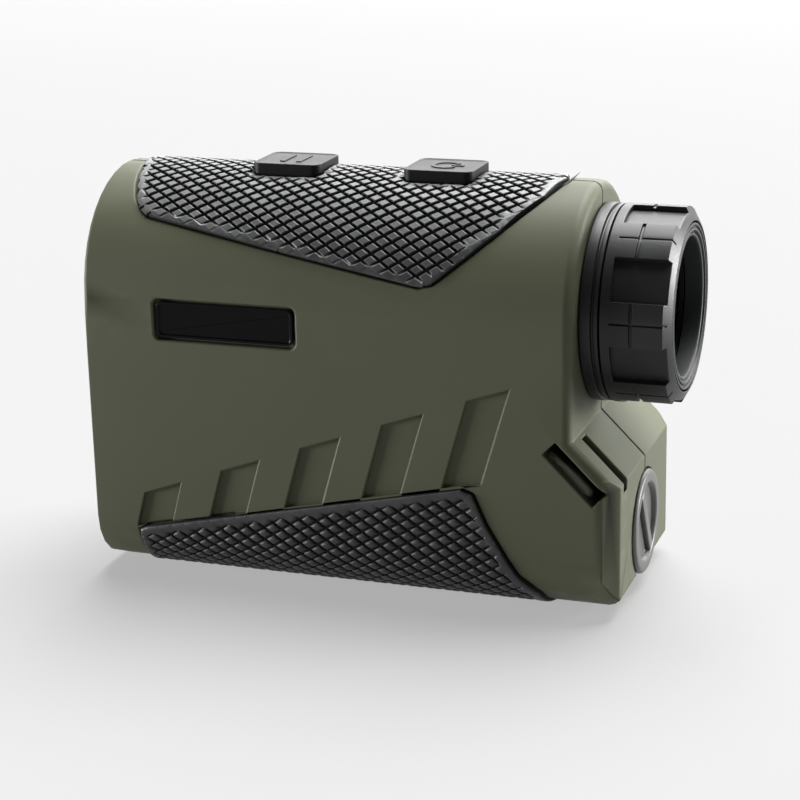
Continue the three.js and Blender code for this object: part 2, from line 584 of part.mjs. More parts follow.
// One finger pocket: a ring sector from the pocket floor outwards.
function fingerPocket(index) {
  const middle = firstPad + (360 * (index + 0.5)) / pocketCount;
  const half = 12;
  const floor = ringRadius - 1;
  const sector = [...arc(0, opticalAxis, floor, middle - half, middle + half, 3),
    ...arc(0, opticalAxis, ringRadius + 2, middle + half, middle - half, 3)];
  return alongX(sector, ring.pocketStart, ring.chamferStart + 0.1);
}
const pockets = Array.from({ length: pocketCount }, (_, i) => fingerPocket(i));
addPiece('dioptre_ring', cut(ringBody, ...pockets), 'black');

const cup = { front: 100.5, outer: 14.2, inner: 11.9 };
addPiece('eyecup', turnedOnX([[cup.front, cup.inner], [cup.front, cup.outer], [overallLength, cup.outer],
  [overallLength, 13.2], [overallLength - 0.6, 12.8], [overallLength - 0.6, cup.inner],
  [cup.front, cup.inner]],
opticalAxis, WIDE_ROUND), 'rubber');

export default rangefinder;
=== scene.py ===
"""A pocket laser rangefinder, built piece by piece around its CAD frame.

The file is laid out as an add-on: sizes and colours in property groups, one operator for each piece
or group of like pieces, and one panel that lists them. Run as a script it builds everything.
"""

import math

import bmesh
import bpy
from mathutils import Matrix, Vector


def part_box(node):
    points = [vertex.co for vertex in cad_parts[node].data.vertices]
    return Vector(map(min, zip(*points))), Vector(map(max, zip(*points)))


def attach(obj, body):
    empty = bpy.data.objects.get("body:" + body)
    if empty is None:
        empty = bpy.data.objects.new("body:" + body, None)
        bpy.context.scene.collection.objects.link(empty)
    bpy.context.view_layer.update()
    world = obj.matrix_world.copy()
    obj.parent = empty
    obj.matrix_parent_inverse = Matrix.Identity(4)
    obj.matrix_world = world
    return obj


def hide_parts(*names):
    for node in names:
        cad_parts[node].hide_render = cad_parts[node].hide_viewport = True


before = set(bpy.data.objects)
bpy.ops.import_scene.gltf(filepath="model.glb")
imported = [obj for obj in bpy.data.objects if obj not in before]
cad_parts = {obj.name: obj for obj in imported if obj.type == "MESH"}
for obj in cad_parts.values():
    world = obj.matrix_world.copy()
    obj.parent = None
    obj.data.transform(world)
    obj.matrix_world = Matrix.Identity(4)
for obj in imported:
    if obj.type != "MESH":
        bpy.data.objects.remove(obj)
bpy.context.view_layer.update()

bl_info = {
    "name": "Laser rangefinder",
    "version": (1, 0, 0),
    "blender": (4, 5, 0),
    "location": "3D View > Sidebar > Rangefinder",
    "description": "Builds a pocket laser rangefinder with its grips, eyepiece and battery cap",
    "category": "Add Mesh",
}

MM = 0.001
HALF_TURN = math.pi
FULL_TURN = 2 * math.pi
WELD = 2e-6  # vertices closer than this are one
CUT = 1e-6  # bisect's tolerance

# ---------------------------------------------------------------- places taken from the frame
SHELL_LOW, SHELL_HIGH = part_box("left_shell")
ARCH = -SHELL_LOW.y  # radius of the arched top, and half the body's width
AXIS = SHELL_HIGH.z - ARCH  # height of the arch's centre and of the viewing axis
FLOOR = SHELL_LOW.z
FRONT = SHELL_LOW.x
CORNER = 10 * MM  # radius of the two bottom edges
CORNER_TOP = FLOOR + CORNER

# Lengths along the body's outline, walked from the top of the arch down one side to the belly.
ARCH_END = ARCH * HALF_TURN / 2
SIDE_END = ARCH_END + AXIS - CORNER_TOP
CORNER_END = SIDE_END + CORNER * HALF_TURN / 2
BELLY_MIDDLE = CORNER_END + ARCH - CORNER


def from_front(x):
    """Millimetres behind the front rim, as a place on X."""
    return FRONT + x * MM


# ---------------------------------------------------------------- modelling by hand
def extrude(push=(0, 0, 0)):
    """Extrudes what is selected by that much."""
    bpy.ops.mesh.extrude_region_move(TRANSFORM_OT_translate={"value": push})


def take(*objects):
    """Only these objects are selected, and the first is the active one."""
    bpy.ops.object.select_all(action="DESELECT")
    for each in objects:
        each.select_set(True)
    bpy.context.view_layer.objects.active = objects[0]
    return objects[0]


class Editing:
    """Edit mode on one object, with nothing selected at the start, or the whole of it."""

    def __init__(self, piece, kind="FACE", whole=False):
        self.piece, self.kind, self.whole = piece, kind, whole

    def __enter__(self):
        take(self.piece)
        bpy.ops.object.mode_set(mode="EDIT")
        bpy.ops.mesh.select_mode(type=self.kind)
        bpy.ops.mesh.select_all(action="SELECT" if self.whole else "DESELECT")
        return self

    def __exit__(self, *_):
        bpy.ops.object.mode_set(mode="OBJECT")

    def pick(self, test):
        """Selects the faces that pass test(centre, normal), or the vertices in vertex mode."""
        bpy.ops.mesh.select_all(action="DESELECT")
        shape = bmesh.from_edit_mesh(self.piece.data)
        if self.kind == "FACE":
            for face in shape.faces:
                if test(face.calc_center_median(), face.normal):
                    face.select_set(True)
        else:
            for vertex in shape.verts:
                if test(vertex.co, vertex.normal):
                    vertex.select_set(True)
        shape.select_flush_mode()
        bmesh.update_edit_mesh(self.piece.data)

    def cut(self, point, normal, clear=False):
        """Cuts what is selected by a plane, and takes away what lies on the normal's side."""
        bpy.ops.mesh.bisect(
            plane_co=point, plane_no=normal, clear_outer=clear, use_fill=False, threshold=CUT
        )

    def move_picked(self, place):
        """Puts each selected vertex where place(its position) says."""
        shape = bmesh.from_edit_mesh(self.piece.data)
        for vertex in shape.verts:
            if vertex.select:
                vertex.co = place(vertex.co.copy())
        bmesh.update_edit_mesh(self.piece.data)

    def tidy(self, weld=WELD):
        """Welds doubles and turns every face outwards."""
        bpy.ops.mesh.select_all(action="SELECT")
        bpy.ops.mesh.remove_doubles(threshold=weld)
        bpy.ops.mesh.normals_make_consistent(inside=False)


def modify(piece, kind, **settings):
    """Adds a modifier and applies it."""
    take(piece)
    modifier = piece.modifiers.new(kind.title(), kind)
    for name, value in settings.items():
        setattr(modifier, name, value)
    bpy.ops.object.modifier_apply(modifier=modifier.name)


def combine(piece, tool, operation="DIFFERENCE"):
    """Cuts tool out of the piece, or joins it on, and takes the tool away."""
    modify(piece, "BOOLEAN", object=tool, operation=operation, solver="EXACT")
    bpy.data.objects.remove(tool)


def soften(piece, width, segments=2, angle=35):
    """Rounds every edge sharper than angle degrees."""
    modify(
        piece,
        "BEVEL",
        width=width,
        segments=segments,
        limit_method="ANGLE",
        angle_limit=math.radians(angle),
        use_clamp_overlap=False,
    )


def loop(points, name, filled=True):
    """A ring of corners laid along points: a circle whose corners are moved to their places."""
    fill = "NGON" if filled else "NOTHING"
    bpy.ops.mesh.primitive_circle_add(vertices=len(points), radius=MM, fill_type=fill)
    made = bpy.context.object
    made.name = name
    for vertex, point in zip(made.data.vertices, points):
        vertex.co = point
    return made


def slab(points, push, name):
    """The outline pushed along a direction into a closed block."""
    made = loop(points, name)
    with Editing(made, whole=True) as edit:
        extrude(push)
        edit.tidy()
    return made


def spun(section, height, name, sides=96):
    """A section of [place on X, radius] pairs spun about a line along X at that height."""
    points = [Vector((x, 0, height + radius)) for x, radius in section]
    made = loop(points, name, filled=False)
    with Editing(made, "VERT", whole=True) as edit:
        bpy.ops.mesh.spin(
            steps=sides, angle=FULL_TURN, center=(0, 0, height), axis=(1, 0, 0)
        )
        edit.tidy()
    return made


def block(low, high, name):
    """A box between two corners."""
    bpy.ops.mesh.primitive_cube_add(size=1)
    made = bpy.context.object
    made.name = name
    middle, size = (low + high) / 2, high - low
    made.data.transform(Matrix.Translation(middle) @ Matrix.Diagonal((*size, 1)))
    return made


def rounded(low, high, radius, steps=6):
    """Corner points of a rounded rectangle between two (across, up) corners."""
    points = []
    middles = (
        (high[0] - radius, low[1] + radius, -90),
        (high[0] - radius, high[1] - radius, 0),
        (low[0] + radius, high[1] - radius, 90),
        (low[0] + radius, low[1] + radius, 180),
    )
    for across, up, start in middles:
        for step in range(steps + 1):
            angle = math.radians(start + 90 * step / steps)
            points.append((across + radius * math.cos(angle), up + radius * math.sin(angle)))
    return points


def copied(node, name):
    """A copy of a CAD node with its loose triangles welded and its flat faces made whole."""
    made = bpy.data.objects.new(name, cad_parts[node].data.copy())
    bpy.context.scene.collection.objects.link(made)
    with Editing(made) as edit:
        edit.tidy()
        bpy.ops.mesh.dissolve_limited(angle_limit=math.radians(1))
    return made


def finished(piece, body, finish, nodes=(), smooth=32):
    """Shades the piece, gives it its finish, ties it to its body, and hides the CAD nodes that it
    replaces.
    """
    take(piece)
    bpy.ops.object.shade_smooth_by_angle(angle=math.radians(smooth))
    modify(piece, "WEIGHTED_NORMAL", keep_sharp=True)
    piece.data.materials.clear()
    piece.data.materials.append(finish)
    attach(piece, body)
    if nodes:
        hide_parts(*nodes)
    return piece


# ---------------------------------------------------------------- finishes
class Value:
    """A number on a shader socket. Python's operators on it add Math nodes."""

    def __init__(self, finish, socket):
        self.finish, self.socket = finish, socket

    def maths(self, operation, *values):
        node = self.finish.node("ShaderNodeMath", {"operation": operation}, dict(enumerate(values)))
        return Value(self.finish, node.outputs[0])

    def __add__(self, other):
        return self.maths("ADD", self, other)

    def __sub__(self, other):
        return self.maths("SUBTRACT", self, other)

    def __rsub__(self, other):
        return self.maths("SUBTRACT", other, self)

    def __mul__(self, other):
        return self.maths("MULTIPLY", self, other)

    __radd__ = __add__
    __rmul__ = __mul__

    def clear_of(self, low, high):
        """0 below low, 1 above high and smooth between."""
        settings = {"interpolation_type": "SMOOTHSTEP"}
        values = {"Value": self, "From Min": low, "From Max": high}
        node = self.finish.node("ShaderNodeMapRange", settings, values)
        return Value(self.finish, node.outputs["Result"])


class Finish:
    """A node material on the piece's own coordinates."""

    def __init__(self, name, **shader):
        self.material = bpy.data.materials.new(name)
        self.material.use_nodes = True
        self.tree = self.material.node_tree
        self.tree.nodes.clear()
        self.place = self.node("ShaderNodeTexCoord").outputs["Object"]
        self.shader = self.node("ShaderNodeBsdfPrincipled", {}, shader)
        self.node("ShaderNodeOutputMaterial", {}, {"Surface": self.shader.outputs["BSDF"]})

    def node(self, kind, settings=None, values=None):
        made = self.tree.nodes.new(kind)
        for name, value in (settings or {}).items():
            setattr(made, name, value)
        for name, value in (values or {}).items():
            self.feed(made.inputs[name], value)
        return made

    def feed(self, socket, value):
        if isinstance(value, Value):
            value = value.socket
        if isinstance(value, bpy.types.NodeSocket):
            self.tree.links.new(value, socket)
        else:
            socket.default_value = value

    def noise(self, size, detail=2.0, stretch=None):
        """Cloudy noise from 0 to 1, its blotches about size metres across."""
        place = self.place
        if stretch is not None:
            mapping = self.node("ShaderNodeMapping", {}, {"Vector": place, "Scale": stretch})
            place = mapping.outputs["Vector"]
        values = {"Vector": place, "Scale": 1 / size, "Detail": detail}
        return Value(self, self.node("ShaderNodeTexNoise", {}, values).outputs[0])

    def attribute(self, name):
        """A number kept on the piece's own vertices."""
        node = self.node("ShaderNodeAttribute", {"attribute_name": name})
        return Value(self, node.outputs["Fac"])

    def edges(self):
        """1 on outer edges and 0 elsewhere, from how pointed the surface is."""
        pointiness = Value(self, self.node("ShaderNodeNewGeometry").outputs["Pointiness"])
        return pointiness.clear_of(0.52, 0.6)

    def painted_top_light(self):
        """1 on faces that look straight up: the mask for painted light that makes tops paler."""
        normal = self.node("ShaderNodeNewGeometry").outputs["Normal"]
        return Value(self, self.node("ShaderNodeSeparateXYZ", {}, {"Vector": normal}).outputs["Z"])

    def blend(self, share, first, second):
        """A colour between two, by share."""
        node = self.node("ShaderNodeMix", {"data_type": "RGBA"})
        for socket, value in ((0, share), (6, first), (7, second)):
            self.feed(node.inputs[socket], value)
        return node.outputs[2]

    def set(self, **values):
        """Feeds the shader's sockets, named with underscores for spaces."""
        for name, value in values.items():
            self.feed(self.shader.inputs[name.replace("_", " ")], value)

    def bump(self, height, depth, strength=1.0):
        values = {"Height": height, "Distance": depth, "Strength": strength}
        self.set(Normal=self.node("ShaderNodeBump", {}, values).outputs["Normal"])


def shade(colour, factor):
    """The colour made darker or lighter."""
    return tuple(min(1.0, part * factor) for part in colour[:3]) + (1.0,)


def moulded(name, colour, roughness, grain=0.25 * MM, depth=0.02 * MM, variation=0.12, **shader):
    """Moulded plastic or rubber: faint mottling, a fine grain, uneven gloss, and paler edges that
    are partly wear and partly a painted highlight.
    """
    finish = Finish(name, **shader)
    clouds = finish.noise(9 * MM, 3.0)
    speck = finish.noise(grain, 2.0)
    # Paler edges: partly wear and partly a painted highlight along the outer edges.
    paler_edges = finish.edges() * clouds.clear_of(0.3, 0.6)
    tone = finish.blend(clouds, shade(colour, 1 - variation), shade(colour, 1 + variation))
    tone = finish.blend(paler_edges * 0.6, tone, shade(colour, 2.6))
    rough = roughness + (clouds - 0.5) * 0.1 + (speck - 0.5) * 0.12
    finish.set(Base_Color=tone, Roughness=rough)
    finish.bump(speck, depth)
    return finish


def soft_touch(name, colours):
    """Olive paint with a velvet feel, paler on its edges where worn, and with painted shade
    darkening it to near black inside the lanyard passage.
    """
    finish = Finish(name, **{"Specular IOR Level": 0.16})
    clouds = finish.noise(14 * MM, 4.0)
    speck = finish.noise(0.35 * MM, 1.0)
    tone = finish.blend(clouds, shade(colours.shell, 0.95), shade(colours.shell, 1.05))
    tone = finish.blend(speck * 0.12, tone, shade(colours.shell, 0.7))
    paler_edges = finish.edges() * finish.noise(5 * MM, 3.0).clear_of(0.4, 0.7)
    tone = finish.blend(paler_edges * 0.3, tone, shade(colours.shell, 1.5))
    # Painted shade: the walls deep in the lanyard passage are darkened to near black, standing in
    # for the shadow inside it.
    black = shade(colours.shell, 0.05)
    finish.set(Base_Color=finish.blend(finish.attribute("hollow") * 0.92, tone, black))
    finish.set(Roughness=0.56 + (clouds - 0.5) * 0.1 - paler_edges * 0.12)
    finish.bump(finish.noise(0.16 * MM, 2.0), 0.012 * MM)
    return finish.material


def key_top(name, colours):
    """Key rubber: grey on top and black down its sides, by which way each face looks; the grey tops
    are painted light and the black sides painted shade.
    """
    finish = Finish(name, **{"Specular IOR Level": 0.12})
    painted_top_light = finish.painted_top_light().clear_of(0.75, 0.95)
    clouds = finish.noise(4 * MM, 3.0)
    speck = finish.noise(0.15 * MM, 2.0)
    # The painted lit colour of the tops, with real mottling and grain in it.
    top = finish.blend(clouds, shade(colours.keys, 0.45), shade(colours.keys, 0.7))
    top = finish.blend(speck * 0.25, top, shade(colours.keys, 0.9))
    # Painted light and shade: lit and shaded copies of one rubber, grey where a face looks up and
    # near black on the sides.
    finish.set(Base_Color=finish.blend(painted_top_light, shade(colours.keys, 0.12), top))
    finish.set(Roughness=0.55 + (speck - 0.5) * 0.2 - clouds * 0.08)
    finish.bump(speck, 0.015 * MM)
    return finish.material


def grip_rubber(name, colours):
    """Black rubber: painted shade makes the grooves between its scales near black, and faces that
    look up are paler, partly dust and partly a painted sheen standing in for the light from above.
    """
    finish = Finish(name, **{"Specular IOR Level": 0.4})
    # Painted shade: the lower the surface lies in the relief, the darker it is, so the grooves come
    # out near black.
    tops = finish.attribute("relief").clear_of(0.35, 0.95)
    painted_top_light = finish.painted_top_light().clear_of(0.25, 0.9)
    dust = finish.noise(6 * MM, 4.0).clear_of(0.35, 0.75)
    speck = finish.noise(0.12 * MM, 2.0)
    dust_and_painted_sheen = finish.blend(dust, shade(colours.rubber, 0.4), shade(colours.rubber, 0.8))
    dust_and_painted_sheen = finish.blend(speck * 0.3, dust_and_painted_sheen, shade(colours.rubber, 1.2))
    # Painted sheen: faces that look up are made up to nearly four times paler, standing in for the
    # light from above; the dust noise only varies how much.
    dust_and_painted_sheen = finish.blend(painted_top_light * (0.6 + dust * 0.4), dust_and_painted_sheen, shade(colours.rubber, 3.8))
    finish.set(Base_Color=finish.blend(tops, shade(colours.rubber, 0.1), dust_and_painted_sheen))
    finish.set(Roughness=0.75 - tops * 0.32 + (speck - 0.5) * 0.16 + dust * 0.05)
    finish.bump(speck, 0.02 * MM)
    return finish.material


def coated_glass(name, colours):
    """A coated lens: dark inside, with a faint tint where it catches light."""
    tint = shade(colours.coating, 1.0)
    coat = {"Coat Weight": 1.0, "Coat Roughness": 0.02, "Coat Tint": tint}
    finish = Finish(name, **coat, **{"IOR": 1.5, "Specular Tint": tint})
    haze = finish.noise(7 * MM, 3.0)
    finish.set(Base_Color=finish.blend(haze, (0.008, 0.014, 0.016, 1), (0.016, 0.026, 0.03, 1)))
    finish.set(Roughness=0.02 + haze * 0.04)
    return finish.material


def metal(name, colour, roughness):
    """Turned or rolled metal with fine scratches along X."""
    finish = Finish(name, **{"Metallic": 1.0})
    lines = finish.noise(0.3 * MM, 3.0, (0.08, 1.0, 1.0))
    stain = finish.noise(4 * MM, 3.0)
    finish.set(Base_Color=finish.blend(stain, shade(colour, 0.85), shade(colour, 1.05)))
    finish.set(Roughness=roughness + (lines - 0.5) * 0.2)
    finish.bump(lines, 0.01 * MM)
    return finish.material


def circuit_board(name, colours):
    """Green solder mask with paler copper runs under it."""
    finish = Finish(name, **{"Coat Weight": 0.4, "Coat Roughness": 0.15})
    runs = finish.noise(1.5 * MM, 1.0, (1.0, 1.0, 3.0)).clear_of(0.52, 0.56)
    clouds = finish.noise(5 * MM, 3.0)
    mask = finish.blend(clouds, shade(colours.board, 0.8), shade(colours.board, 1.1))
    finish.set(Base_Color=finish.blend(runs * 0.6, mask, shade(colours.board, 2.2)))
    finish.set(Roughness=0.35 + clouds * 0.15)
    finish.bump(runs, 0.03 * MM)
    return finish.material


MAKERS = {
    "shell": soft_touch,
    "grip_rubber": grip_rubber,
    "key_top": key_top,
    "coated_glass": coated_glass,
    "circuit_board": circuit_board,
}
# The colour and roughness of each metal.
METALS = {"steel": ((0.6, 0.6, 0.6), 0.35), "brass": ((0.72, 0.52, 0.25), 0.3)}
# The colour setting, roughness and specular level of each plain moulded finish.
PLAIN = {
    "key_rubber": ("keys", 0.5, 0.2),
    "plaque": ("plaque", 0.2, 0.06),
    "black_plastic": ("black", 0.45, 0.2),
    "ring_plastic": ("ring", 0.42, 0.25),
    "chip_plastic": ("black", 0.5, 0.5),
    "cap_plastic": ("cap", 0.4, 0.5),
    "battery_wrap": ("wrap", 0.25, 0.5),
}


def finish_for(slot):
    """The finish of a material slot, made the first time that it is asked for."""
    name = f"{slot}_finish"
    found = bpy.data.materials.get(name)
    if found is not None:
        return found
    colours = bpy.context.scene.rangefinder_colours
    if slot in MAKERS:
        return MAKERS[slot](name, colours)
    if slot in METALS:
        return metal(name, *METALS[slot])
    colour, roughness, shine = PLAIN[slot]
    settings = {"Specular IOR Level": shine}
    return moulded(name, getattr(colours, colour), roughness, **settings).material


SLOT_NODES = {
    "shell": "left_shell right_shell",
    "grip_rubber": "top_grip lower_grip",
    "key_rubber": "mode_button power_button cap_seal eyecup",
    "plaque": "left_badge right_badge",
    "black_plastic": "front_bezel objective_cell objective_retainer emitter_tube emitter_retainer"
    " display_frame board_connector eyepiece_barrel lens_cell cell_retainer",
    "ring_plastic": "dioptre_ring",
    "coated_glass": "objective_lens emitter_lens half_penta_prism roof_prism display field_lens"
    " eye_lens",
    "steel": "case_screw_1 case_screw_2 case_screw_3 laser_diode prism_holder prism_clip"
    " receiver_diode board_screw_1 board_screw_2 shield_can battery_spring cam_pin",
    "brass": "display_ribbon cap_contact",
    "circuit_board": "laser_board receiver_board main_board key_board",
    "chip_plastic": "processor_chip mode_switch power_switch battery_sleeve",
    "cap_plastic": "battery_cap",
    "battery_wrap": "battery",
}


# ---------------------------------------------------------------- property groups
def length(name, description, millimetres):
    return bpy.props.FloatProperty(
        name=name,
        description=description,
        default=millimetres * MM,
        unit="LENGTH",
        subtype="DISTANCE",
    )


def colour(name, description, red, green, blue):
    return bpy.props.FloatVectorProperty(
        name=name,
        description=description,
        default=(red, green, blue),
        size=3,
        min=0,
        max=1,
        subtype="COLOR",
    )


def bearing(name, description, degrees):
    return bpy.props.FloatProperty(
        name=name, description=description, default=math.radians(degrees), subtype="ANGLE"
    )


def amount(name, description, value, unit="NONE"):
    return bpy.props.FloatProperty(name=name, description=description, default=value, unit=unit)


class RangefinderColours(bpy.types.PropertyGroup):
    """The object's colours, as linear light."""

    shell: colour("Shell", "Soft-touch paint of the two shells", 0.067, 0.072, 0.045)
    rubber: colour("Grips", "Rubber of the two grips", 0.03, 0.031, 0.031)
    keys: colour("Keys", "Rubber of the keys and the eyecup", 0.02, 0.021, 0.021)
    ring: colour("Dioptre ring", "Plastic of the dioptre ring", 0.01, 0.0105, 0.0105)
    black: colour("Black parts", "Plain black plastic", 0.013, 0.014, 0.014)
    plaque: colour("Plaque", "Gloss black of the side plaques", 0.0035, 0.0035, 0.004)
    cap: colour("Battery cap", "Silver-grey of the battery cap", 0.045, 0.045, 0.041)
    wrap: colour("Battery sleeve", "Printed sleeve of the battery", 0.06, 0.14, 0.42)
    board: colour("Boards", "Solder mask of the boards", 0.02, 0.12, 0.05)
    coating: colour("Lens coating", "Tint of the lens coating", 0.35, 0.75, 0.7)
    backdrop: colour("Floor", "The studio floor", 0.125, 0.125, 0.125)


class RangefinderGrips(bpy.types.PropertyGroup):
    """Sizes of the scales on the two grips."""

    pitch_along: length("Pitch along", "Length of one scale along the body", 3.35)
    pitch_round: length("Pitch round", "Height of one scale round the body", 2.2)
    groove: length("Groove", "Half the width of the groove between two scales", 0.12)
    slant: length("Slant", "How far a scale's sides lean in", 0.2)
    proud: length("Proud", "How far the tops stand out of the shell", 0.56)
    rim_proud: length("Rim", "How far the plain rim stands out of the shell", 0.58)
    valley: length("Valley", "How far the grooves stand out of the shell", 0.02)
    rim: length("Rim width", "Width of the plain rim", 1.35)
    rounding: length("Rounding", "Radius of the rim's outer edge", 0.4)
    sunk: length("Sunk", "How deep the grips are let into the shell", 0.75)
    edge_round: length("Shell edges", "Rounding of the shells' edges", 0.3)


class RangefinderEyepiece(bpy.types.PropertyGroup):
    """Sizes of the dioptre ring."""

    pocket_depth: length("Pocket depth", "Depth of a finger pocket", 1.0)
    groove_width: length("Groove width", "Width of the groove in a pad", 0.55)
    groove_depth: length("Groove depth", "Depth of the groove in a pad", 0.45)
    edge_round: length("Edges", "Rounding of the ring's edges", 0.12)
    pads: bpy.props.IntProperty(name="Pads", description="Pads round the ring", default=7)
    first_pad: bearing("First pad", "Angle of the first pad above the left side", 53)


class RangefinderStudio(bpy.types.PropertyGroup):
    """Where the camera stands and how strong the lights are."""

    azimuth: bearing("Azimuth", "Camera's turn round the body", 19.567)
    elevation: bearing("Elevation", "Camera's height as an angle", 17.073)
    roll: bearing("Roll", "Camera's lean", -1.2545)
    lens: amount("Lens", "Focal length in millimetres", 95.70)
    key: amount("Key light", "Strength of the broad light above", 11.5)
    front: amount("Front light", "Power of the soft box in front", 20.0, "POWER")
    rear: amount("Rear light", "Power of the soft box behind", 36.0, "POWER")
    back: amount("Back light", "Power of the wide box across the table", 18.0, "POWER")
    glow: amount("Floor glow", "Light from the light table", 0.4)
    sky: amount("Surround", "Strength of the surround", 0.12)


CAMERA_PLACE = Vector((0.121994, -0.344859, 0.142754))


# ---------------------------------------------------------------- shells and plaques
REAR_WALL = from_front(88.6)
TAIL_END = from_front(96.5)
SLOPE_TOP = 31.9 * MM
TAIL_CORNER = 3 * MM
NEAR = 0.06 * MM  # a point this close to a face lies on it
REAR_ROUND, TAIL_ROUND, RIM_ROUND, RECESS_ROUND = 1.7 * MM, 0.9 * MM, 0.8 * MM, 0.45 * MM
SHARP = 38  # degrees; the covers' edges past this are softened

# The lanyard passage lies behind, left of and above these.
PASSAGE_FROM, PASSAGE_SIDE, PASSAGE_LOW = from_front(82), -11 * MM, 16 * MM
PASSAGE_MOUTH, PASSAGE_DEEP = 0.5 * MM, 1.2 * MM  # depths where its painted shade starts and is full


def on_outline(place):
    """Whether a point lies on the body's outer skin, seen from the front."""
    if place.z >= AXIS:
        return abs(math.hypot(place.y, place.z - AXIS) - ARCH) < NEAR
    return abs(abs(place.y) - ARCH) < NEAR


def on_rear_rim(place, _):
    """The rear edge of the upper body, and the side edges of the slope below it."""
    if not on_outline(place):
        return False
    rim = abs(place.x - REAR_WALL) < NEAR and place.z > SLOPE_TOP - NEAR
    foot = SLOPE_TOP - (TAIL_END - TAIL_CORNER - REAR_WALL)
    corner = abs(place.x - TAIL_END + TAIL_CORNER) < NEAR and abs(place.z - foot) < 4 * NEAR
    return rim or corner


def on_tail_corner(place, _):
    """The upright edges at the tail's two corners."""
    flank = abs(place.x - TAIL_END + TAIL_CORNER) < NEAR and abs(abs(place.y) - ARCH) < NEAR
    back = abs(place.x - TAIL_END) < NEAR and abs(abs(place.y) - ARCH + TAIL_CORNER) < NEAR
    return (flank or back) and 6 * MM < place.z < SLOPE_TOP - 6 * MM


def on_front_rim(place, _):
    """The outer edge of the front opening."""
    return abs(place.x - FRONT) < NEAR and on_outline(place) and place.z > CORNER_TOP


def round_recess(side):
    """A test for the outer edge of the recess that holds that side's plaque."""
    low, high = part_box(f"{side}_badge")
    margin = Vector((MM, 0, MM))

    def on_recess(place, _):
        if abs(abs(place.y) - ARCH) > NEAR:
            return False
        before, past = place - low + margin, high + margin - place
        return min(before.x, before.z, past.x, past.z) > 0

    return on_recess


class RANGEFINDER_OT_shells(bpy.types.Operator):
    """Build the two shells with softened edges"""

    bl_idname = "rangefinder.shells"
    bl_label = "Shells"

    def execute(self, context):
        width = context.scene.rangefinder_grips.edge_round
        for side in ("left", "right"):
            cover = copied(f"{side}_shell", f"{side}_cover")
            self.round_over(cover, on_rear_rim, REAR_ROUND, 4)
            self.round_over(cover, on_tail_corner, TAIL_ROUND, 3)
            self.round_over(cover, on_front_rim, RIM_ROUND, 3)
            self.round_over(cover, round_recess(side), RECESS_ROUND, 3)
            soften(cover, width, 2, SHARP)
            with Editing(cover, whole=True):
                bpy.ops.mesh.vert_connect_concave()
            # Painted shade: darkens the inside of the lanyard passage.
            self.paint_passage_shade(cover)
            finished(cover, "housing", finish_for("shell"), [f"{side}_shell"])
        return {"FINISHED"}

    @staticmethod
    def round_over(cover, test, radius, segments):
        """Rounds the edges between the vertices that pass the test."""
        with Editing(cover, "VERT") as edit:
            edit.pick(test)
            bpy.ops.mesh.bevel(
                offset=radius, segments=segments, affect="EDGES", clamp_overlap=False
            )

    @staticmethod
    def paint_passage_shade(cover):
        """Marks how deep each vertex lies in the lanyard passage, for the painted shade that
        darkens its walls.
        """
        hollow = cover.data.attributes.new("hollow", "FLOAT", "POINT")
        depths = []
        for vertex in cover.data.vertices:
            x, y, z = vertex.co
            slope = (x - REAR_WALL + z - SLOPE_TOP) / math.sqrt(2)
            inside = min(y + ARCH, -slope + 0.2 * MM, TAIL_END - x)
            reach = x > PASSAGE_FROM and y < PASSAGE_SIDE and PASSAGE_LOW < z < SLOPE_TOP + MM
            depths.append(eased(inside, PASSAGE_MOUTH, PASSAGE_DEEP) if reach else 0.0)
        hollow.data.foreach_set("value", depths)


class RANGEFINDER_OT_plaques(bpy.types.Operator):
    """Build the blank plaque of each side: a glossy plate with a raised border"""

    bl_idname = "rangefinder.plaques"
    bl_label = "Plaques"

    def execute(self, context):
        for side in ("left", "right"):
            low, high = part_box(f"{side}_badge")
            out = -1 if side == "left" else 1
            near, far = (high.y, low.y) if side == "left" else (low.y, high.y)
            corners = rounded((low.x, low.z), (high.x, high.z), 1.1 * MM)
            outline = [Vector((x, near, z)) for x, z in corners]
            plate = slab(outline, (0, far - near, 0), f"{side}_plaque")
            with Editing(plate) as edit:
                edit.pick(lambda centre, normal: normal.y * out > 0.9)
                bpy.ops.mesh.inset(thickness=0.45 * MM, depth=0)
                bpy.ops.mesh.inset(thickness=0.15 * MM, depth=-0.22 * MM)
                bpy.ops.mesh.inset(thickness=0.55 * MM, depth=0.06 * MM)
            soften(plate, 0.08 * MM)
            finished(plate, "housing", finish_for("plaque"), [f"{side}_badge"])
        return {"FINISHED"}


# ---------------------------------------------------------------- grips
# Outlines of the grips: millimetres behind the front rim, with degrees above the side for the
# top grip's front end and millimetres above the table for the rest.
TOP_GRIP_FRONT = (
    (4.15, 90), (5.1, 77), (6.1, 67), (6.9, 59), (7.8, 52), (8.9, 46), (10.6, 42.7),
)
TOP_GRIP_EDGE = (
    (36.3, 61.0), (61.6, 56.8), (63, 56.75), (64.6, 57.4), (70, 61.75), (75, 65.7), (80.7, 70.35),
)
LOWER_GRIP_EDGE = (
    (8.5, 8.7), (10, 9.4), (69.4, 22.1), (71.4, 21.4), (73.8, 16.1), (79.2, 7.3), (82.4, 4.2),
)


def along_at(height):
    """How far round the outline from the top of the arch a height on the left side is."""
    if height >= AXIS:
        return ARCH * math.acos(min(1, (height - AXIS) / ARCH))
    if height >= CORNER_TOP:
        return ARCH_END + AXIS - height
    return SIDE_END + CORNER * math.asin(min(1, (CORNER_TOP - height) / CORNER))


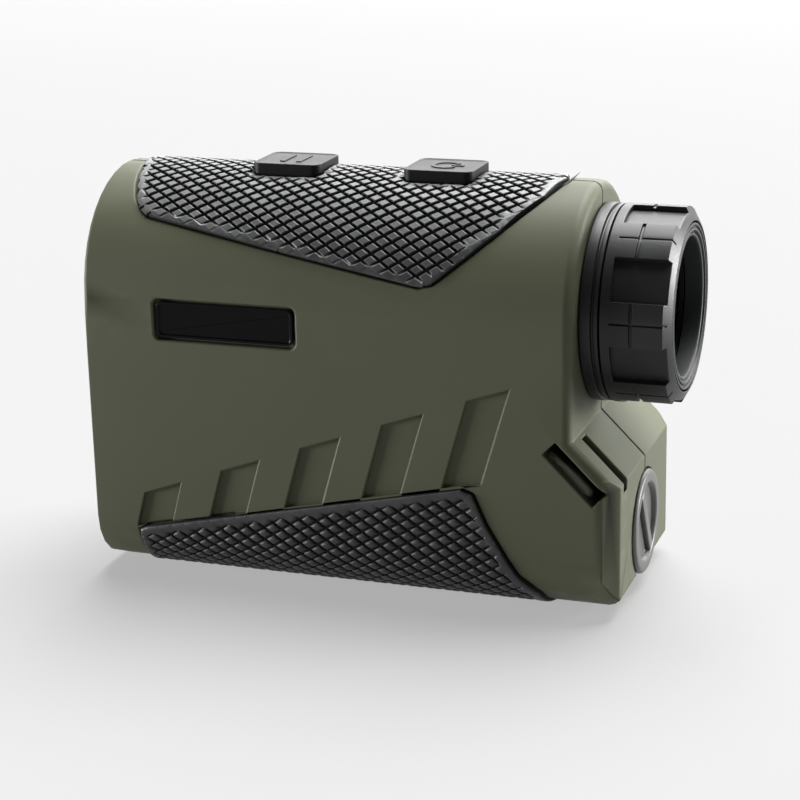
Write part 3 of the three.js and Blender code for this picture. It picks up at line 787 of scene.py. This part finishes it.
def on_body(x, along, out):
    """The point that far round the outline and that far out of the shell."""
    side = -1
    if along < 0:
        along, side = -along, 1
    if along > BELLY_MIDDLE:
        along, side = 2 * BELLY_MIDDLE - along, -side
    if along <= ARCH_END:
        angle = along / ARCH
        across, up = (ARCH + out) * math.sin(angle), AXIS + (ARCH + out) * math.cos(angle)
    elif along <= SIDE_END:
        across, up = ARCH + out, AXIS - (along - ARCH_END)
    elif along <= CORNER_END:
        angle = (along - SIDE_END) / CORNER
        across = ARCH - CORNER + (CORNER + out) * math.cos(angle)
        up = CORNER_TOP - (CORNER + out) * math.sin(angle)
    else:
        across, up = BELLY_MIDDLE - along, FLOOR - out
    return Vector((x, side * across, up))


def scale_cell(domed, grips):
    """One scale of a grip, flat on the table: a diamond with slanted sides, or a rounder dome."""
    half_long, half_high = grips.pitch_along / 2, grips.pitch_round / 2
    height = grips.proud - grips.valley
    steps = 8 if domed else 4
    points = []
    for step in range(steps):
        angle = FULL_TURN * step / steps
        across, up = math.cos(angle), math.sin(angle)
        reach = 1 / (abs(across) + abs(up))
        points.append(Vector((half_long * across * reach, half_high * up * reach, 0)))
    cell = loop(points, "scale")
    with Editing(cell, whole=True) as edit:
        bpy.ops.mesh.inset(thickness=grips.groove)
        if domed:
            extrude((0, 0, height * 0.55))
            bpy.ops.transform.resize(value=(0.86, 0.86, 1), center_override=(0, 0, 0))
            edit.move_picked(lambda place: swollen(place, half_long, half_high, 0.3))
            extrude((0, 0, height * 0.35))
            bpy.ops.transform.resize(value=(0.68, 0.68, 1), center_override=(0, 0, 0))
            extrude((0, 0, height * 0.1))
            bpy.ops.transform.resize(value=(0.5, 0.5, 1), center_override=(0, 0, 0))
        else:
            bpy.ops.mesh.inset(thickness=grips.slant, depth=height * 0.88)
            bpy.ops.mesh.inset(thickness=grips.slant * 0.4, depth=height * 0.12)
    return cell


def swollen(place, half_long, half_high, share):
    """Pushes the middles of a diamond's sides outwards, towards an oval."""
    across, up = place.x / half_long, place.y / half_high
    size = math.hypot(across, up)
    straight = abs(across) + abs(up)
    factor = 1 + share * (straight / size - 1) if size else 1
    return Vector((place.x * factor, place.y * factor, place.z))


def field_of_scales(cell, grips, low, high):
    """Copies the scale over a flat rectangle, every other row shifted by half a scale."""
    columns = math.ceil((high.x - low.x) / grips.pitch_along) + 2
    rows = math.ceil((high.y - low.y) / grips.pitch_round) + 2
    with Editing(cell, whole=True):
        shift = (grips.pitch_along / 2, grips.pitch_round / 2, 0)
        bpy.ops.mesh.duplicate_move(TRANSFORM_OT_translate={"value": shift})
    steps = {"use_relative_offset": False, "use_constant_offset": True}
    for count, step in (
        (columns, (grips.pitch_along, 0, 0)),
        (rows, (0, grips.pitch_round, 0)),
    ):
        modify(cell, "ARRAY", count=count, constant_offset_displace=step, **steps)
    middle = (low + high) / 2
    start_x = middle.x - (columns - 0.5) * grips.pitch_along / 2 + grips.pitch_along / 4
    start_y = middle.y - round(rows / 2) * grips.pitch_round
    cell.data.transform(Matrix.Translation((start_x, start_y, 0)))
    with Editing(cell, whole=True):
        bpy.ops.mesh.remove_doubles(threshold=10 * WELD)
    return cell


def trim(field, upper, mirror_at, offsets):
    """Cuts the flat field to the outline and its mirror image, and scores lines inside the edge."""
    first, last = upper[0], upper[-1]
    with Editing(field) as edit:
        for x, out in ((first.x, -1), (last.x, 1)):
            bpy.ops.mesh.select_all(action="SELECT")
            edit.cut((x, 0, 0), (out, 0, 0), clear=True)
        for corner in upper[1:-1]:
            bpy.ops.mesh.select_all(action="SELECT")
            edit.cut((corner.x, 0, 0), (1, 0, 0))
        for side in (1, -1):
            for start, end in zip(upper, upper[1:]):
                if end.x - start.x < CUT:
                    continue
                run = (end - start).normalized()
                out = Vector((-run.y, run.x * side, 0))
                low_x, high_x = start.x, end.x
                edit.pick(
                    lambda centre, _: low_x < centre.x < high_x
                    and (centre.y - mirror_at) * side > 0
                )
                place = Vector((start.x, mirror_at + (start.y - mirror_at) * side, 0))
                edit.cut(place, out, clear=True)
        for side in (1, -1):
            for start, end in zip(upper, upper[1:]):
                run = (end - start).normalized()
                out = Vector((-run.y, run.x * side))
                first_end = Vector((start.x, mirror_at + (start.y - mirror_at) * side))
                second_end = Vector((end.x, mirror_at + (end.y - mirror_at) * side))
                reach = offsets[-1] * 1.6
                edit.pick(lambda centre, _: from_stretch(centre, first_end, second_end) < reach)
                for offset in offsets:
                    edit.cut((first_end - out * offset).to_3d(), out.to_3d())


def from_stretch(point, first, second):
    """Distance of a flat point from a straight stretch."""
    flat, run = point.to_2d(), second - first
    share = max(0.0, min(1.0, (flat - first).dot(run) / run.length_squared))
    return (flat - first - run * share).length


def sides_of(corners):
    """Each side of a closed convex outline, as its start and its outward direction."""
    middle = sum(corners, Vector((0, 0))) / len(corners)
    sides = []
    for first, second in zip(corners, corners[1:] + corners[:1]):
        run = (second - first).normalized()
        out = Vector((run.y, -run.x))
        if out.dot(first - middle) < 0:
            out.negate()
        sides.append((first, out))
    return sides


def outside(point, sides):
    """Distance outside a convex outline, and below 0 within it."""
    return max((point - first).dot(out) for first, out in sides)


def open_keyways(field, keyways, offsets):
    """Cuts the keys' openings out of the flat field, and scores lines round them."""
    with Editing(field) as edit:
        for corners in keyways:
            middle = sum(corners, Vector((0, 0))) / len(corners)
            reach = max((corner - middle).length for corner in corners) + offsets[-1] * 1.5
            sides = sides_of(corners)
            edit.pick(lambda centre, _: (centre.to_2d() - middle).length < reach)
            for first, out in sides:
                for offset in (0, *offsets):
                    edit.cut((first + out * offset).to_3d(), out.to_3d())
            edit.pick(lambda centre, _: outside(centre.to_2d(), sides) < 0)
            bpy.ops.mesh.delete(type="FACE")


def eased(value, low, high):
    """0 below low, 1 above high and smooth between."""
    share = max(0.0, min(1.0, (value - low) / (high - low)))
    return share * share * (3 - 2 * share)


def raise_relief(field, upper, mirror_at, keyways, grips):
    """Blends the scales into a plain rim at every edge, and rounds the rim over."""
    stretches = []
    for start, end in zip(upper, upper[1:]):
        stretches.append((start, end))
        mirrored = [Vector((p.x, 2 * mirror_at - p.y)) for p in (start, end)]
        stretches.append(tuple(mirrored))
    for x in (upper[0].x, upper[-1].x):
        half = max(point.y - mirror_at for point in upper if abs(point.x - x) < CUT)
        if half > CUT:
            stretches.append((Vector((x, mirror_at - half)), Vector((x, mirror_at + half))))
    height = grips.proud - grips.valley
    rim_height = grips.rim_proud - grips.valley
    openings = [sides_of(corners) for corners in keyways]
    for vertex in field.data.vertices:
        edge = min(from_stretch(vertex.co, *stretch) for stretch in stretches)
        plain = 1 - eased(edge, grips.rim, grips.rim * 1.25)
        for sides in openings:
            away = outside(vertex.co.to_2d(), sides)
            plain = max(plain, 1 - eased(away, grips.rim * 0.6, grips.rim * 0.9))
            edge = min(edge, max(0.0, away))
        shape = vertex.co.z + (rim_height - vertex.co.z) * plain
        if edge < grips.rounding:
            inset = grips.rounding - edge
            shape -= grips.rounding - math.sqrt(max(0.0, grips.rounding**2 - inset**2))
        vertex.co.z = min(shape, max(height, rim_height))


def wrap_grip(field, grips, mirror_at):
    """Gives the flat field its thickness, keeps its relief and wraps it round the body."""
    floor = -grips.sunk - grips.valley
    with Editing(field, "EDGE", whole=True):
        bpy.ops.mesh.remove_doubles(threshold=5 * WELD)
        bpy.ops.mesh.dissolve_degenerate(threshold=WELD)
        bpy.ops.mesh.delete_loose()
        bpy.ops.mesh.select_all(action="DESELECT")
        bpy.ops.mesh.select_non_manifold()
        extrude()
        bpy.ops.transform.resize(value=(1, 1, 0), center_override=(0, 0, floor))
        bpy.ops.mesh.fill()
    with Editing(field) as edit:
        span = max(abs(vertex.co.y - mirror_at) for vertex in field.data.vertices)
        step = 2.5 * MM
        for place in range(-int(span / step), int(span / step) + 1):
            edit.pick(lambda centre, _: centre.z < floor * 0.98)
            edit.cut((0, mirror_at + place * step, 0), (0, 1, 0))
        edit.tidy()
    relief = field.data.attributes.new("relief", "FLOAT", "POINT")
    height = grips.proud - grips.valley
    levels = [max(0.0, min(1.0, vertex.co.z / height)) for vertex in field.data.vertices]
    relief.data.foreach_set("value", levels)
    for vertex in field.data.vertices:
        x, along, out = vertex.co
        vertex.co = on_body(x, along, out + grips.valley)
    with Editing(field, whole=True):
        bpy.ops.mesh.normals_make_consistent(inside=False)


class RANGEFINDER_OT_top_grip(bpy.types.Operator):
    """Build the top grip: diamond scales over the arch, with a plain rim and two key openings"""

    bl_idname = "rangefinder.top_grip"
    bl_label = "Top grip"

    def execute(self, context):
        grips = context.scene.rangefinder_grips
        upper = []
        for x, above_side in TOP_GRIP_FRONT:
            upper.append(Vector((from_front(x), ARCH * math.radians(90 - above_side))))
        upper += [Vector((from_front(x), along_at(z * MM))) for x, z in TOP_GRIP_EDGE]
        upper.append(Vector((from_front(82.6), 0)))
        keyways = []
        for node in ("mode_button", "power_button"):
            low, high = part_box(node)
            clear = 0.35 * MM
            corners = rounded(
                (low.x - clear, low.y - clear), (high.x + clear, high.y + clear), 1.8 * MM, 3
            )
            keyways.append([Vector((x, -ARCH * math.asin(y / ARCH))) for x, y in corners])
        reach = max(point.y for point in upper)
        low, high = Vector((upper[0].x, -reach)), Vector((upper[-1].x, reach))
        scored = (0.12 * MM, grips.rounding, grips.rim, grips.rim * 1.25)
        field = field_of_scales(scale_cell(False, grips), grips, low, high)
        trim(field, upper, 0, scored)
        open_keyways(field, keyways, (0.12 * MM, grips.rounding, grips.rim * 0.6, grips.rim * 0.9))
        raise_relief(field, upper, 0, keyways, grips)
        wrap_grip(field, grips, 0)
        field.name = "top_rubber"
        finished(field, "housing", finish_for("grip_rubber"), ["top_grip"], 25)
        return {"FINISHED"}


class RANGEFINDER_OT_lower_grip(bpy.types.Operator):
    """Build the lower grip: domed scales wrapped under the belly"""

    bl_idname = "rangefinder.lower_grip"
    bl_label = "Lower grip"

    def execute(self, context):
        grips = context.scene.rangefinder_grips
        far_side = 2 * BELLY_MIDDLE
        upper = [Vector((from_front(x), far_side - along_at(z * MM))) for x, z in LOWER_GRIP_EDGE]
        upper.append(Vector((from_front(84.1), far_side - CORNER_END)))
        upper.append(Vector((from_front(84.3), BELLY_MIDDLE)))
        reach = max(point.y for point in upper) - BELLY_MIDDLE
        low = Vector((upper[0].x, BELLY_MIDDLE - reach))
        high = Vector((upper[-1].x, BELLY_MIDDLE + reach))
        scored = (0.12 * MM, grips.rounding, grips.rim, grips.rim * 1.25)
        field = field_of_scales(scale_cell(True, grips), grips, low, high)
        trim(field, upper, BELLY_MIDDLE, scored)
        raise_relief(field, upper, BELLY_MIDDLE, [], grips)
        wrap_grip(field, grips, BELLY_MIDDLE)
        field.name = "lower_rubber"
        finished(field, "housing", finish_for("grip_rubber"), ["lower_grip"], 40)
        return {"FINISHED"}


# ---------------------------------------------------------------- keys
class RANGEFINDER_OT_keys(bpy.types.Operator):
    """Build the two keys, one with a power mark and one with two bars"""

    bl_idname = "rangefinder.keys"
    bl_label = "Keys"

    def execute(self, context):
        for name, mark in (("mode", self.bars), ("power", self.power_mark)):
            low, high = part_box(f"{name}_button")
            corners = rounded((low.x, low.y), (high.x, high.y), 1.6 * MM)
            outline = [Vector((x, y, low.z + 0.2 * MM)) for x, y in corners]
            key = slab(outline, (0, 0, 1), f"{name}_key")
            with Editing(key, "VERT") as edit:
                edit.pick(lambda place, _: place.z > 0.5)
                edit.move_picked(lambda place: Vector((place.x, place.y, high.z)))
            ends = (low.x - MM, high.x + MM)
            section = [(ends[0], 0), (ends[0], ARCH), (ends[1], ARCH), (ends[1], 0)]
            combine(key, spun(section, AXIS, "roof", 256))
            with Editing(key) as edit:
                edit.pick(lambda _, normal: normal.z > 0.9)
                bpy.ops.mesh.inset(thickness=0.5 * MM, depth=0.0)
                bpy.ops.mesh.inset(thickness=0.25 * MM, depth=-0.12 * MM)
            soften(key, 0.14 * MM, 2, 40)
            middle = Vector(((low.x + high.x) / 2, 0, high.z - 0.12 * MM))
            for raised in mark(middle):
                soften(raised, 0.06 * MM, 2, 40)
                combine(key, raised, "UNION")
            finish = finish_for("key_top")
            finished(key, f"{name}_key", finish, [f"{name}_button"], 35)
        return {"FINISHED"}

    @staticmethod
    def bars(middle):
        """Two bars across the key."""
        made = []
        for shift in (-1.5, 1.5):
            half = Vector((0.45 * MM, 2.9 * MM, 0.16 * MM))
            place = middle + Vector((shift * MM, 0, 0.02 * MM))
            made.append(block(place - half, place + half, "bar"))
        return made

    @staticmethod
    def power_mark(middle):
        """An open ring with a short bar in its gap."""
        points = []
        gap = math.radians(38)
        for radius, steps in ((2.7, range(25)), (2.0, range(24, -1, -1))):
            for step in steps:
                angle = gap + (FULL_TURN - 2 * gap) * step / 24
                across, up = radius * MM * math.cos(angle), radius * MM * math.sin(angle)
                points.append(middle + Vector((across, up, -0.14 * MM)))
        ring = slab(points, (0, 0, 0.32 * MM), "ring")
        place = middle + Vector((2.1 * MM, 0, 0.02 * MM))
        half = Vector((1.1 * MM, 0.35 * MM, 0.16 * MM))
        return [ring, block(place - half, place + half, "stroke")]


# ---------------------------------------------------------------- eyepiece
def turned_section(rows):
    """[millimetres behind the front rim, radius in millimetres] pairs in metres."""
    return [(from_front(x), radius * MM) for x, radius in rows]


def round_angle(point):
    """Angle of a point round the viewing axis, from the left side upwards."""
    return math.atan2(point.z - AXIS, -point.y)


def set_radius(point, radius):
    """The point moved straight towards or away from the viewing axis."""
    away = Vector((0, point.y, point.z - AXIS)).normalized()
    return Vector((point.x, away.y * radius, AXIS + away.z * radius))


class RANGEFINDER_OT_barrel(bpy.types.Operator):
    """Build the eyepiece barrel with its fixed collar and the thin band next to the ring"""

    bl_idname = "rangefinder.barrel"
    bl_label = "Eyepiece barrel"

    def execute(self, context):
        rows = [(80, 12.4), (80, 13.7), (88.9, 13.7), (88.9, 17.0), (90.7, 17.0), (90.8, 16.4)]
        rows += [(91.15, 16.4), (91.25, 16.9), (91.95, 16.9), (92.0, 13.7), (98.2, 13.7)]
        rows += [(98.2, 14.6), (99, 14.6), (99, 12.4)]
        barrel = spun(turned_section(rows), AXIS, "eyepiece_collar", 112)
        soften(barrel, 0.12 * MM, 2, 30)
        finish = finish_for("ring_plastic")
        finished(barrel, "housing", finish, ["eyepiece_barrel"])
        return {"FINISHED"}


class RANGEFINDER_OT_ring(bpy.types.Operator):
    """Build the dioptre ring: raised pads with crossed grooves, finger pockets between them"""

    bl_idname = "rangefinder.ring"
    bl_label = "Dioptre ring"

    def execute(self, context):
        sizes = context.scene.rangefinder_eyepiece
        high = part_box("dioptre_ring")[1]
        outer = high.y
        floor = outer - sizes.pocket_depth
        chamfer = Vector((from_front(102.8), outer))
        end = Vector((high.x, 14.75 * MM))
        share = sizes.pocket_depth / (chamfer.y - end.y)
        run_out = chamfer.lerp(end, share)
        pocket = (from_front(93.9), chamfer.x)
        groove = (from_front(97.2), from_front(97.2) + sizes.groove_width)
        section = turned_section([(92.3, 14.0), (92.3, 17.0), (93.9, 17.0)])
        section += [(groove[0], outer), (groove[1], outer)]
        section += [tuple(chamfer), tuple(run_out), tuple(end)]
        rows = [(104, 14.5), (100.2, 14.5), (100.2, 12.6), (99.3, 12.6), (99.3, 14.9)]
        rows += [(97.9, 14.9), (97.9, 14.0), (97.3, 14.0), (97.3, 15.0), (92.8, 15.0)]
        section += turned_section([*rows, (92.8, 14.0)])
        sides = sizes.pads * 16
        ring = spun(section, AXIS, "focus_ring_body", sides)
        pitch = FULL_TURN / sizes.pads
        segment = FULL_TURN / sides
        turn = sizes.first_pad - round(sizes.first_pad / segment) * segment
        centre_line = Matrix.Translation((0, 0, AXIS))
        turned = Matrix.Rotation(-turn, 4, "X")
        ring.data.transform(centre_line @ turned @ centre_line.inverted())

        def from_pad(point):
            """Angle from the middle of the nearest pad."""
            offset = (round_angle(point) - sizes.first_pad) % pitch
            return min(offset, pitch - offset)

        def reach(point):
            return math.hypot(point.y, point.z - AXIS)

        slim = outer - 0.6 * MM
        with Editing(ring) as edit:
            for pad in range(sizes.pads):
                angle = sizes.first_pad + pad * pitch
                out = Vector((0, -math.cos(angle), math.sin(angle)))
                across = Vector((0, math.sin(angle), math.cos(angle)))
                edit.pick(
                    lambda centre, _: (centre - Vector((centre.x, 0, AXIS))).dot(out) > 13 * MM
                    and reach(centre) > 14.6 * MM
                    and centre.x > pocket[0]
                )
                for side in (1, -1):
                    place = Vector((0, 0, AXIS)) + across * side * sizes.groove_width / 2
                    edit.cut(place, across)
            edit.pick(
                lambda centre, _: from_pad(centre) > 4.02 * segment
                and reach(centre) > (outer + floor) / 2 - 0.2 * MM
                and pocket[0] < centre.x < run_out.x
            )
            extrude()
            edit.move_picked(lambda place: set_radius(place, floor))

            def in_groove(centre, _):
                if reach(centre) < slim or not pocket[0] < centre.x < run_out.x:
                    return False
                lengthways = from_pad(centre) * outer < sizes.groove_width / 2
                around = groove[0] < centre.x < groove[1] and from_pad(centre) < 4 * segment
                return lengthways or around

            edit.pick(in_groove)
            extrude()
            edit.move_picked(
                lambda place: set_radius(place, min(reach(place), outer) - sizes.groove_depth)
            )
            edit.tidy(5 * WELD)
        soften(ring, sizes.edge_round, 2, 33)
        finished(ring, "focus_ring", finish_for("ring_plastic"), ["dioptre_ring"])
        return {"FINISHED"}


class RANGEFINDER_OT_eyecup(bpy.types.Operator):
    """Build the eyecup: a stepped rubber mouth inside the ring"""

    bl_idname = "rangefinder.eyecup"
    bl_label = "Eyecup"

    def execute(self, context):
        rows = [(100.5, 11.9), (100.5, 14.2), (103.9, 14.2), (104, 14.1), (104, 13.75)]
        rows += [(103.6, 13.65), (103.6, 13.35), (103.95, 13.25), (103.95, 12.85)]
        rows += [(103.4, 12.75), (103.4, 12.5), (103.7, 12.4), (103.6, 12.0), (103.2, 11.9)]
        cup = spun(turned_section(rows), AXIS, "eyecup_mouth", 112)
        soften(cup, 0.08 * MM, 2, 30)
        finished(cup, "focus_ring", finish_for("key_rubber"), ["eyecup"])
        return {"FINISHED"}


# ---------------------------------------------------------------- battery cap
class RANGEFINDER_OT_battery_cap(bpy.types.Operator):
    """Build the battery cap: a flange with a dish and a bar to turn it by"""

    bl_idname = "rangefinder.battery_cap"
    bl_label = "Battery cap"

    def execute(self, context):
        low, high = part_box("battery_cap")
        middle = (low.z + high.z) / 2
        back = high.x
        radius = (high.z - low.z) / 2
        dish, deep = 6.9 * MM, 0.95 * MM
        plug, flange = 7.7 * MM, from_front(95)
        section = [(low.x, 0), (low.x, plug), (flange, plug), (flange, radius)]
        section += [(back - 0.5 * MM, radius), (back - 0.1 * MM, radius - 0.4 * MM)]
        section += [(back, radius - 0.9 * MM), (back - 0.05 * MM, dish + 0.3 * MM)]
        section += [(back - 0.3 * MM, dish), (back - deep, dish - 0.25 * MM), (back - deep, 0)]
        cap = spun(section, middle, "battery_door", 96)
        half = Vector((0.5 * MM, 1.0 * MM, dish - 0.05 * MM))
        place = Vector((back - 0.6 * MM, 0, middle))
        bar = block(place - half, place + half, "bar")
        with Editing(bar, whole=True):
            lean = math.radians(-30)
            bpy.ops.transform.rotate(value=lean, orient_axis="X", center_override=place)
        soften(bar, 0.3 * MM, 3, 40)
        combine(cap, bar, "UNION")
        soften(cap, 0.08 * MM, 2, 33)
        finished(cap, "screw_cap", finish_for("cap_plastic"), ["battery_cap"])
        return {"FINISHED"}


# ---------------------------------------------------------------- front and insides
class RANGEFINDER_OT_front(bpy.types.Operator):
    """Build the front plate and the lenses with their retaining rings"""

    bl_idname = "rangefinder.front"
    bl_label = "Front optics"

    def execute(self, context):
        plate = copied("front_bezel", "front_plate")
        soften(plate, 0.3 * MM, 2, 35)
        finished(plate, "housing", finish_for("black_plastic"), ["front_bezel"])
        for name in ("objective", "emitter"):
            self.lens(f"{name}_lens", f"{name}_glass", "housing", (1.3, 0.3))
            self.retainer(f"{name}_retainer", f"{name}_lock_ring", "housing")
        self.lens("eye_lens", "eyepiece_glass", "lens_carrier", (0.5, 1.1))
        self.retainer("cell_retainer", "eyepiece_lock_ring", "lens_carrier")
        return {"FINISHED"}

    @staticmethod
    def lens(node, name, body, sags):
        """A disc with two bulged faces."""
        low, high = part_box(node)
        middle, radius = (low.z + high.z) / 2, (high.z - low.z) / 2
        steps = 10
        section = []
        for step in range(steps + 1):
            share = step / steps
            section.append((low.x + sags[0] * MM * share**2, radius * share))
        for step in range(steps, -1, -1):
            share = step / steps
            section.append((high.x - sags[1] * MM * share**2, radius * share))
        glass = spun(section, middle, name, 72)
        finished(glass, body, finish_for("coated_glass"), [node])

    @staticmethod
    def retainer(node, name, body):
        """A threaded ring that holds a lens, with two slots for its spanner."""
        low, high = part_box(node)
        middle, radius = (low.z + high.z) / 2, (high.z - low.z) / 2
        inner = radius - (1.0 if "objective" in node else 0.8) * MM
        lead = 0.3 * MM
        section = [(low.x, inner + lead), (low.x, radius), (high.x, radius)]
        section += [(high.x, inner), (low.x + lead, inner)]
        ring = spun(section, middle, name, 72)
        across = Vector((0.5 * MM, radius + MM, 0.5 * MM))
        face = low.x if body == "housing" else high.x
        place = Vector((face, 0, middle))
        combine(ring, block(place - across, place + across, "slot"))
        soften(ring, 0.06 * MM, 1, 40)
        finished(ring, body, finish_for("black_plastic"), [node])


class RANGEFINDER_OT_insides(bpy.types.Operator):
    """Give every CAD piece that is kept its own finish"""

    bl_idname = "rangefinder.insides"
    bl_label = "Inside parts"

    def execute(self, context):
        for slot, names in SLOT_NODES.items():
            for name in names.split():
                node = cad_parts[name]
                if node.hide_render:
                    continue
                for place in node.material_slots:
                    place.material = finish_for(slot)
        return {"FINISHED"}


# ---------------------------------------------------------------- studio
LIGHT_AIM = Vector((0, 0, 0.036))
KEY_PLACE = Vector((0.08, 0.45, 0.88))
KEY_SPREAD = math.radians(50)
# Where each soft box stands, with its width and height. The studio settings hold its power.
SOFT_BOXES = {
    "front": (Vector((-0.85, -0.26, 0.03)), (0.4, 0.2)),
    "rear": (Vector((1.0, 0.6, 0.1)), (0.5, 0.4)),
    "back": (Vector((-0.1, 1.3, 0.5)), (1.6, 0.7)),
}


class RANGEFINDER_OT_studio(bpy.types.Operator):
    """Build the floor, the lights and the camera"""

    bl_idname = "rangefinder.studio"
    bl_label = "Studio"

    def execute(self, context):
        scene = context.scene
        studio = scene.rangefinder_studio
        colours = scene.rangefinder_colours
        bpy.ops.mesh.primitive_plane_add(size=12)
        floor = context.object
        floor.name = "studio_floor"
        glow = {"Emission Color": (1, 1, 1, 1), "Emission Strength": studio.glow}
        glow["Specular IOR Level"] = 0.0
        finish = moulded("studio_paper", colours.backdrop, 0.9, 2 * MM, 0.01 * MM, 0.01, **glow)
        floor.data.materials.append(finish.material)
        for name, (place, size) in SOFT_BOXES.items():
            self.soft_box(f"{name}_box", place, size, getattr(studio, name))
        bpy.ops.object.light_add(type="SUN", location=KEY_PLACE)
        key = context.object
        key.name = "key_light"
        key.rotation_euler = KEY_PLACE.to_track_quat("Z", "Y").to_euler()
        key.data.energy = studio.key
        key.data.angle = KEY_SPREAD
        world = bpy.data.worlds.new("surround")
        world.use_nodes = True
        background = world.node_tree.nodes["Background"]
        background.inputs["Color"].default_value = (1, 1, 1, 1)
        background.inputs["Strength"].default_value = studio.sky
        scene.world = world
        scene.view_settings.view_transform = "Standard"
        self.camera(scene, studio)
        return {"FINISHED"}

    @staticmethod
    def soft_box(name, place, size, power):
        bpy.ops.object.light_add(type="AREA", location=place)
        light = bpy.context.object
        light.name = name
        light.rotation_euler = (LIGHT_AIM - place).to_track_quat("-Z", "Y").to_euler()
        light.data.shape = "RECTANGLE"
        light.data.size, light.data.size_y = size
        light.data.energy = power

    @staticmethod
    def camera(scene, studio):
        around, above = studio.azimuth, studio.elevation
        level = math.cos(above)
        back = Vector((math.sin(around) * level, -math.cos(around) * level, math.sin(above)))
        turn = back.to_track_quat("Z", "Y").to_matrix()
        turn = turn @ Matrix.Rotation(studio.roll, 3, "Z")
        bpy.ops.object.camera_add()
        camera = bpy.context.object
        camera.name = "camera"
        camera.matrix_world = Matrix.Translation(CAMERA_PLACE) @ turn.to_4x4()
        camera.data.lens = studio.lens
        camera.data.sensor_width = 36
        camera.data.clip_start = 10 * MM
        camera.data.clip_end = 50
        scene.camera = camera


OPERATORS = (
    RANGEFINDER_OT_shells,
    RANGEFINDER_OT_plaques,
    RANGEFINDER_OT_top_grip,
    RANGEFINDER_OT_lower_grip,
    RANGEFINDER_OT_keys,
    RANGEFINDER_OT_barrel,
    RANGEFINDER_OT_ring,
    RANGEFINDER_OT_eyecup,
    RANGEFINDER_OT_battery_cap,
    RANGEFINDER_OT_front,
    RANGEFINDER_OT_insides,
    RANGEFINDER_OT_studio,
)
GROUPS = {
    "rangefinder_colours": RangefinderColours,
    "rangefinder_grips": RangefinderGrips,
    "rangefinder_eyepiece": RangefinderEyepiece,
    "rangefinder_studio": RangefinderStudio,
}


class RANGEFINDER_PT_panel(bpy.types.Panel):
    """Lists the steps that build the rangefinder"""

    bl_idname = "RANGEFINDER_PT_panel"
    bl_label = "Rangefinder"
    bl_space_type = "VIEW_3D"
    bl_region_type = "UI"
    bl_category = "Rangefinder"

    def draw(self, context):
        for name, group in GROUPS.items():
            box = self.layout.box()
            values = getattr(context.scene, name)
            for key in group.__annotations__:
                box.prop(values, key)
        for operator in OPERATORS:
            self.layout.operator(operator.bl_idname)


def register():
    for each in (*GROUPS.values(), *OPERATORS, RANGEFINDER_PT_panel):
        bpy.utils.register_class(each)
    for name, group in GROUPS.items():
        setattr(bpy.types.Scene, name, bpy.props.PointerProperty(type=group))


def unregister():
    for name in GROUPS:
        delattr(bpy.types.Scene, name)
    for each in (RANGEFINDER_PT_panel, *OPERATORS, *GROUPS.values()):
        bpy.utils.unregister_class(each)


def main():
    register()
    for operator in OPERATORS:
        group, name = operator.bl_idname.split(".")
        getattr(getattr(bpy.ops, group), name)()


if __name__ == "__main__":
    main()
